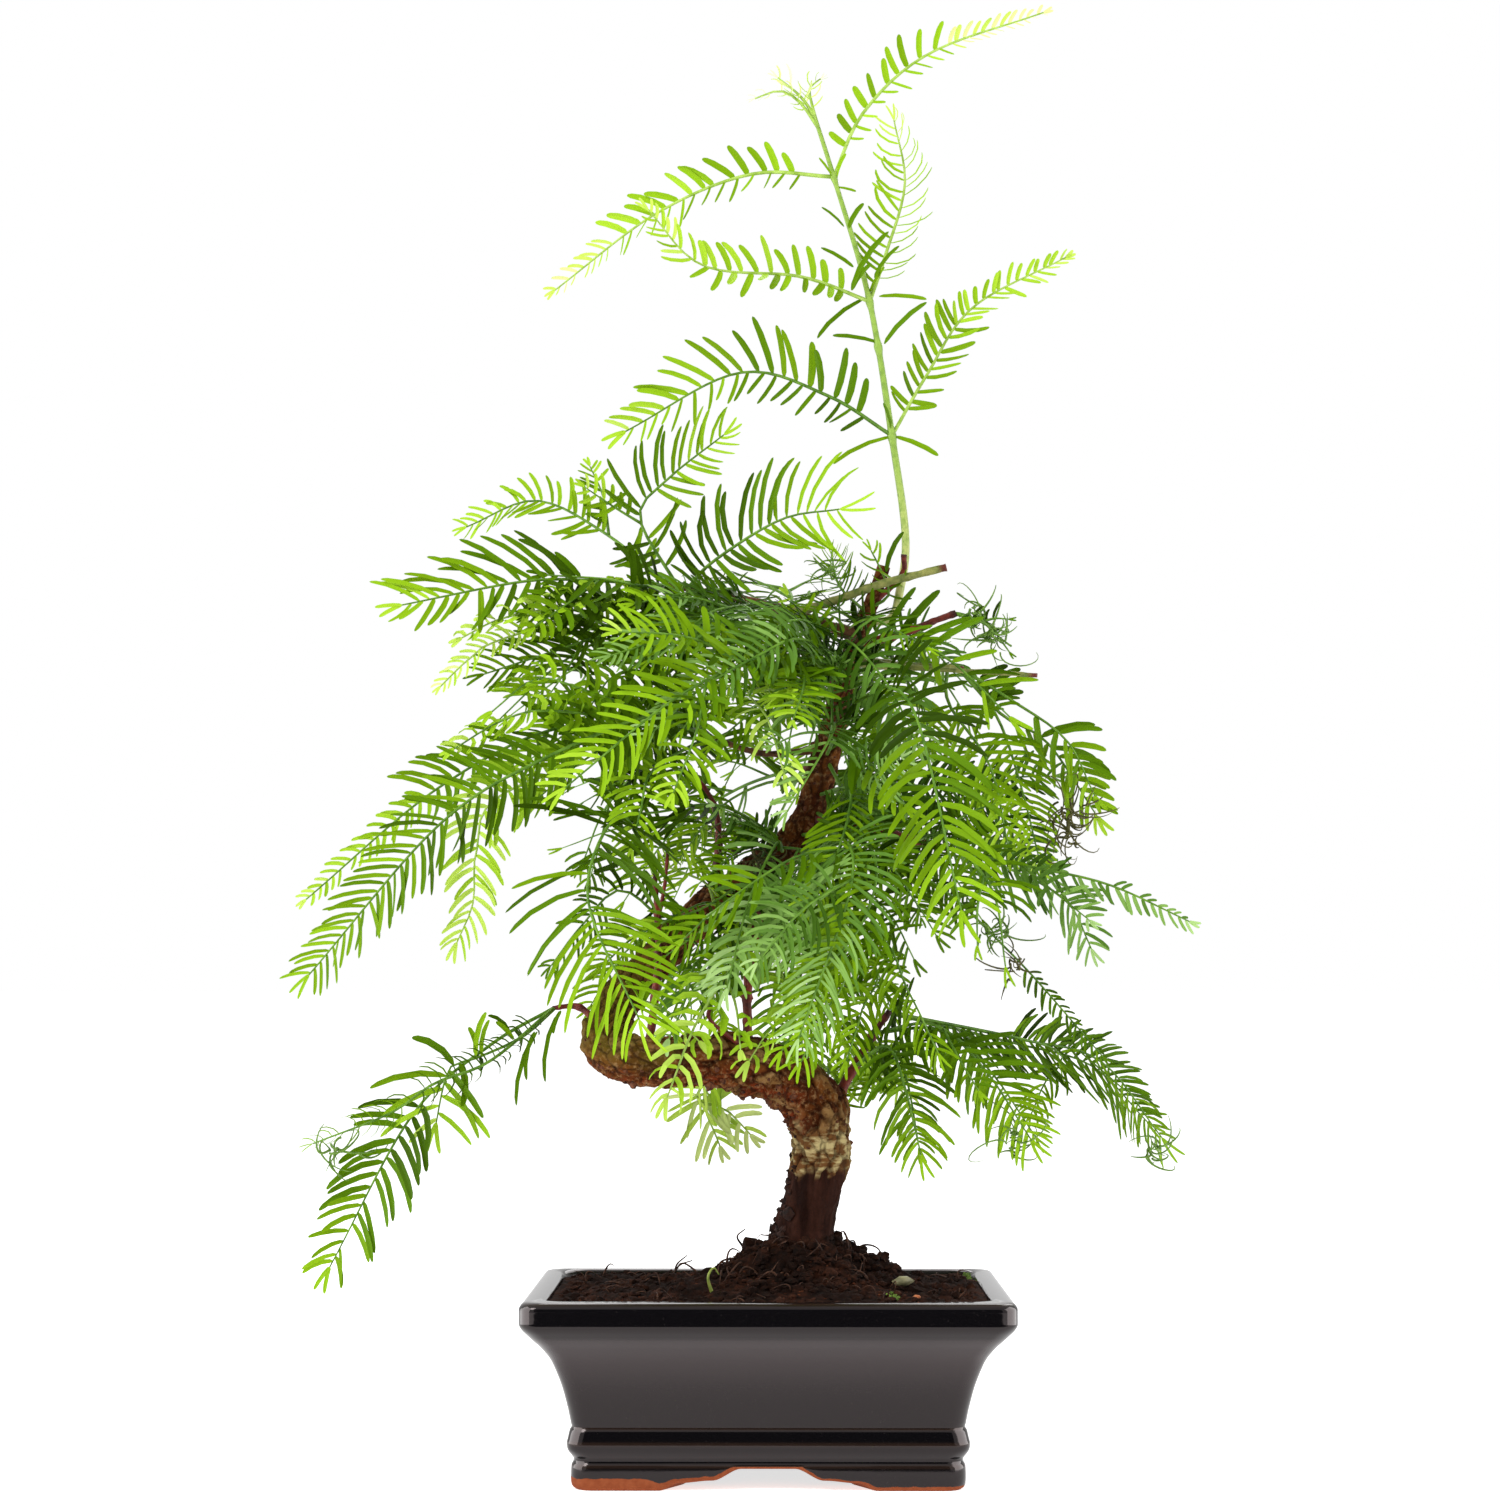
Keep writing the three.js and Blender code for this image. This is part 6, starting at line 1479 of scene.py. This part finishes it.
def grow_mass(m, look):
    """A mass as the source grows it, its main spray and side twigs in the same places, in the
    look given for it."""
    host, host_radius = LIMBS[m["on"]]
    root = look.get("root", m["side"])
    start = host.at(1.0) - 0.6 * host.way(1.0) if root is None else host.at(root)
    path = Path([start] + list(np.add(m["to"], look.get("shift", 0))))
    hint, rng = leaning(m["face"]), np.random.default_rng(m["seed"])
    habit, tint = look.get("habit", "plain"), look.get("tint", m["tint"])
    uneven = look.get("uneven", EVEN)
    bare = max(BARE, (float(host_radius(1.0 if root is None else root)) + 4) / path.length)
    longest = m["needle"] * look.get("longer", 1.0)
    change, later, longer, young = look.get("then", (1.0, habit, 1.0, tint))
    first = Spray(path, hint, longest, bare, tint, habit, only=(0.0, change), uneven=uneven)
    first.grow(rng, ends=(0.85, 0.3))
    if change < 1:
        longest = m["needle"] * longer
        Spray(path, hint, longest, bare, young, later, only=(change, 1.0), uneven=uneven).grow(rng)
    twig_tint = look.get("twig", tint)
    if twig_tint is not None:
        for u, turn, long, angle, share, scale in twigs_of(m, path.length):
            twig = twig_path(path, hint, u, turn, long, angle)
            Spray(twig, hint, m["needle"] * share, 0.14, twig_tint, habit, scale).grow(rng)


def grow_filler(seed, on, root, to, longest, habit, face, tint, naked=BARE):
    """One filler spray; `naked` is the share of its stem that bears no needles."""
    host, host_radius = LIMBS[on]
    path = Path([host.at(root)] + to)
    bare = max(naked, (float(host_radius(root)) + 4) / path.length)
    spray = Spray(path, leaning(face), longest, bare, tint, habit)
    spray.grow(np.random.default_rng(seed), ends=(0.8, 0.3))


# A needle's rings: their share of its arc, and the share of its breadth there. It is narrow at
# the foot, even along the blade and blunt at the tip.
RING_AT = np.array([0.0, 0.09, 0.34, 0.68, 0.89, 0.972])
RING_BREADTH = np.array([0.3, 0.84, 1.0, 0.98, 0.8, 0.46])


def needle_faces(count):
    """Faces of so many needles, each of six rings of four points, then its foot and its tip."""
    foot, tip, last = 24, 25, 20
    ends = [[(k + 1) % 4, k, foot] for k in range(4)]
    ends += [[last + k, last + (k + 1) % 4, tip] for k in range(4)]
    step = 26 * np.arange(count)[:, None, None]
    quads = (grid_faces(6, 4)[None] + step).reshape(-1, 4)
    return quads.tolist() + (np.array(ends)[None] + step).reshape(-1, 3).tolist()


def needle_mesh(pick):
    """All needles of one green at once. A needle is a strap: six rings of four points (edge,
    groove, edge, keel) along an arc that turns forward by `turn` from root to tip. The groove
    sits under the edges, so the two halves of the blade catch the light differently."""
    place, way, lateral, blade, angle, turn, sag, twist, length, width, _ = pick
    ahead = (angle + turn / 2)[:, None]
    bend = np.where(np.abs(turn) < 1e-3, 1e-3, turn)[:, None]

    def spot(t):
        """The place after a share t of the arc, and how far the needle is turned there. Along and
        across, the arc of a circle is a difference of sines and of cosines over its turn."""
        now = ahead - turn[:, None] * t
        along = ((np.sin(ahead) - np.sin(now)) / bend)[..., None]
        across = ((np.cos(now) - np.cos(ahead)) / bend)[..., None]
        drop = (sag[:, None] * t**2)[..., None] * (0.6 * blade[:, None] + np.array([0, 0, 0.55]))
        reach = length[:, None, None] * (way[:, None] * along + lateral[:, None] * across - drop)
        return place[:, None] + reach, now

    centre, now = spot(RING_AT[None])
    edge = -way[:, None] * np.sin(now)[..., None] + lateral[:, None] * np.cos(now)[..., None]
    roll = (twist[:, None] * (0.4 + RING_AT))[..., None]
    flat = edge * np.cos(roll) + blade[:, None] * np.sin(roll)
    up = blade[:, None] * np.cos(roll) - edge * np.sin(roll)
    half = (width / 2)[:, None, None] * RING_BREADTH[None, :, None]
    flat, up = flat * half, up * half
    corners = [centre + flat, centre - up * 0.2, centre - flat, centre - up * 0.5]
    count = len(place)
    rings = np.stack(corners, axis=2).reshape(count, 24, 3)
    tip, _ = spot(np.ones((1, 1)))
    return np.concatenate([rings, place[:, None], tip], axis=1).reshape(-1, 3), needle_faces(count)


def build_needles():
    """Grows every spray, deals the needles out to a few plain greens and meshes each green."""
    for name, m in MASSES.items():
        grow_mass(m, LOOKS.get(name, {}))
    for k, filler in enumerate(FILLERS):
        grow_filler(SEEDS["fillers"] + k, *filler)
    for needle in LONE:
        lone_needle(*needle)
    merged = [np.concatenate(column) for column in zip(*rows)]
    shade = np.round(merged[-1]).astype(int)
    for k in np.unique(shade):
        points, faces = needle_mesh([column[shade == k] for column in merged])
        stands_for = list(MASSES) if k == shade.min() else ()
        piece(f"needles_green_{k}", points, faces, living_leaf(k), "needles", stands_for, soft=False)


def build_stems():
    """The sprays' slim green stems: older ones in one piece, young pale ones in another."""
    older, young = Heap(), Heap()
    for path, (root, tip), shade in stems:
        rings = max(9, int(path.length / 5))
        points, faces, _, _ = limb(path, lambda u, a: root + (tip - root) * u + 0 * a, rings, 6)
        (young if 4 < shade <= YELLOWEST else older).add(points, faces)
    green = young_bark("green spray stem", "#3c6210", "#648c28", 6.0, 0.55)
    older.to_piece("spray_stems", green, "needles")
    pale = young_bark("pale spray stem", "#7c9c34", "#a3bf5a", 6.0, 0.55)
    young.to_piece("young_stems", pale, "needles")


def curls(rng, tangles):
    """Middle lines of the strands in some tangles: each an arc that starts near its tangle's
    middle and turns a quarter to three quarters of the way round, drifting outwards as it goes."""
    counts = [count for _, _, count, _ in tangles]
    middle = np.repeat([place for place, _, _, _ in tangles], counts, axis=0).astype(float)
    breadth = np.repeat([breadth for _, breadth, _, _ in tangles], counts)[:, None]
    n = len(middle)
    start = (middle + rng.normal(0, 0.32, (n, 3)) * breadth)[:, None]
    radius = rng.uniform(1.6, 5.0, (n, 1, 1))
    sweep = rng.uniform(1.6, 4.6, (n, 1))
    ahead = unit(rng.normal(0, 1, (n, 3)) + np.array([0, 0, -0.4]))
    inward = unit(np.cross(ahead, rng.normal(0, 1, (n, 3)) + np.array([0, 1.6, 0])))
    t = (np.linspace(0, 1, 13)[None] * sweep)[..., None]
    drift = 1 + 0.25 * t
    return start + radius * (ahead[:, None] * np.sin(t) + inward[:, None] * (1 - np.cos(t)) * drift)


def build_wisps():
    """Dried and green curled shoots, as tangles of thin strands."""
    for kind, (name, first, second) in enumerate(WISP_KINDS):
        rng = np.random.default_rng(SEEDS["wisps"] + kind)
        lines = curls(rng, [tangle for tangle in WISPS if tangle[3] == kind])
        skin = young_bark(name.replace("_", " "), first, second, 2.0, 0.8)
        piece(name, *strands(lines, rng.uniform(0.32, 0.58, len(lines)), 5), skin, "needles")


# ------------------------------------------------------------------ studio


def in_frame(place):
    """A place in millimetres as the frame's metres."""
    return Vector(np.array(place) * MM + POT_MIDDLE)


def stage_card(name, corners, material, **seen):
    """A flat card of the studio: four corners in millimetres, and which rays meet it."""
    mesh = bpy.data.meshes.new(name)
    mesh.from_pydata([in_frame(corner) for corner in corners], [], [(0, 1, 2, 3)])
    mesh.materials.append(material)
    card = bpy.data.objects.new(name, mesh)
    bpy.context.scene.collection.objects.link(card)
    for key, value in seen.items():
        setattr(card, key, value)


def build_cards():
    """A white floor that glows faintly so that it runs into the white behind it, tall softboxes
    at both sides for the streaks in the glaze, and black cards in front that only the glaze
    mirrors."""
    white = {"Emission_Color": (1, 1, 1, 1), "Specular_IOR_Level": 0.0}
    paper, _, _ = new_material("white paper", 0.9, "#ffffff", Emission_Strength=0.7, **white)
    black, _, _ = new_material("black card", 1.0, "#020202", Specular_IOR_Level=0.0)
    lit = {"Emission_Color": (1, 1, 1, 1), "Emission_Strength": 7.0}
    glow, _, _ = new_material("lit card", 1.0, "#000000", **lit)
    mirrored = dict(visible_camera=False, visible_diffuse=False, visible_shadow=False)
    far, front, top = 30000.0, -2600, 1900
    stage_card("floor", [(-far, -far, 0), (far, -far, 0), (far, far, 0), (-far, far, 0)], paper)
    low = [(-240, front, 0.4), (240, front, 0.4), (240, -172, 0.4), (-240, -172, 0.4)]
    stage_card("low_card", low, black, **mirrored)
    upright = [(-900, front, 0), (900, front, 0), (900, front, top), (-900, front, top)]
    stage_card("front_card", upright, black, **mirrored)
    for side in (-1, 1):
        x = 330 * side
        box = [(x, -300, 1), (x, 90, 1), (x, 90, 420), (x, -300, 420)]
        stage_card(f"side_card_{side + 2}", box, glow, **mirrored)


def build_sky():
    """White all round, half as bright where it lights a matt surface."""
    world = bpy.data.worlds.new("studio")
    bpy.context.scene.world = world
    world.use_nodes = True
    tree = world.node_tree
    tree.nodes.clear()
    soft = node(tree, "ShaderNodeLightPath").outputs["Is Diffuse Ray"]
    level = span(tree, soft, 0, 1, 1.0, 0.5)
    sky = node(tree, "ShaderNodeBackground", values={"Color": (1, 1, 1, 1)}, links={"Strength": level})
    node(tree, "ShaderNodeOutputWorld", links={"Surface": sky.outputs[0]})


# Soft square lamps: name, place, side in metres and watts; each is aimed at the crown's middle.
LAMPS = (
    ("key", (-800, -900, 1250), 0.7, 22.0),
    ("fill", (1100, -700, 900), 0.8, 5.0),
    ("rear", (200, 1000, 1100), 0.9, 9.0),
)
CROWN_MIDDLE = (0, 0, 250)


def build_lamps():
    """A soft lamp high on the left, and weaker ones on the right and behind."""
    for name, place, side, power in LAMPS:
        light = bpy.data.lights.new(name, "AREA")
        light.shape = "SQUARE"
        light.energy, light.size = power, side
        lamp = bpy.data.objects.new(name, light)
        lamp.location = in_frame(place)
        lamp.rotation_euler = (in_frame(CROWN_MIDDLE) - lamp.location).to_track_quat("-Z", "Y").to_euler()
        bpy.context.scene.collection.objects.link(lamp)


def build_camera():
    """The camera, level across, at the place and angles given; colours are shown as they are."""
    data = bpy.data.cameras.new("camera")
    data.sensor_width = SENSOR
    data.lens = SENSOR * CAMERA["pixels"] / CAMERA["frame"]
    camera = bpy.data.objects.new("camera", data)
    camera.location = in_frame(CAMERA["place"])
    camera.rotation_euler = (math.radians(90 + CAMERA["pitch"]), 0, math.radians(CAMERA["pan"]))
    bpy.context.scene.collection.objects.link(camera)
    bpy.context.scene.camera = camera
    bpy.context.scene.view_settings.view_transform = "Standard"
    bpy.context.scene.view_settings.look = "None"


build_pot()
build_soil()
build_soil_detail()
build_trunk()
build_boughs()
build_leader()
build_needles()
build_stems()
build_wisps()
build_cards()
build_sky()
build_lamps()
build_camera()
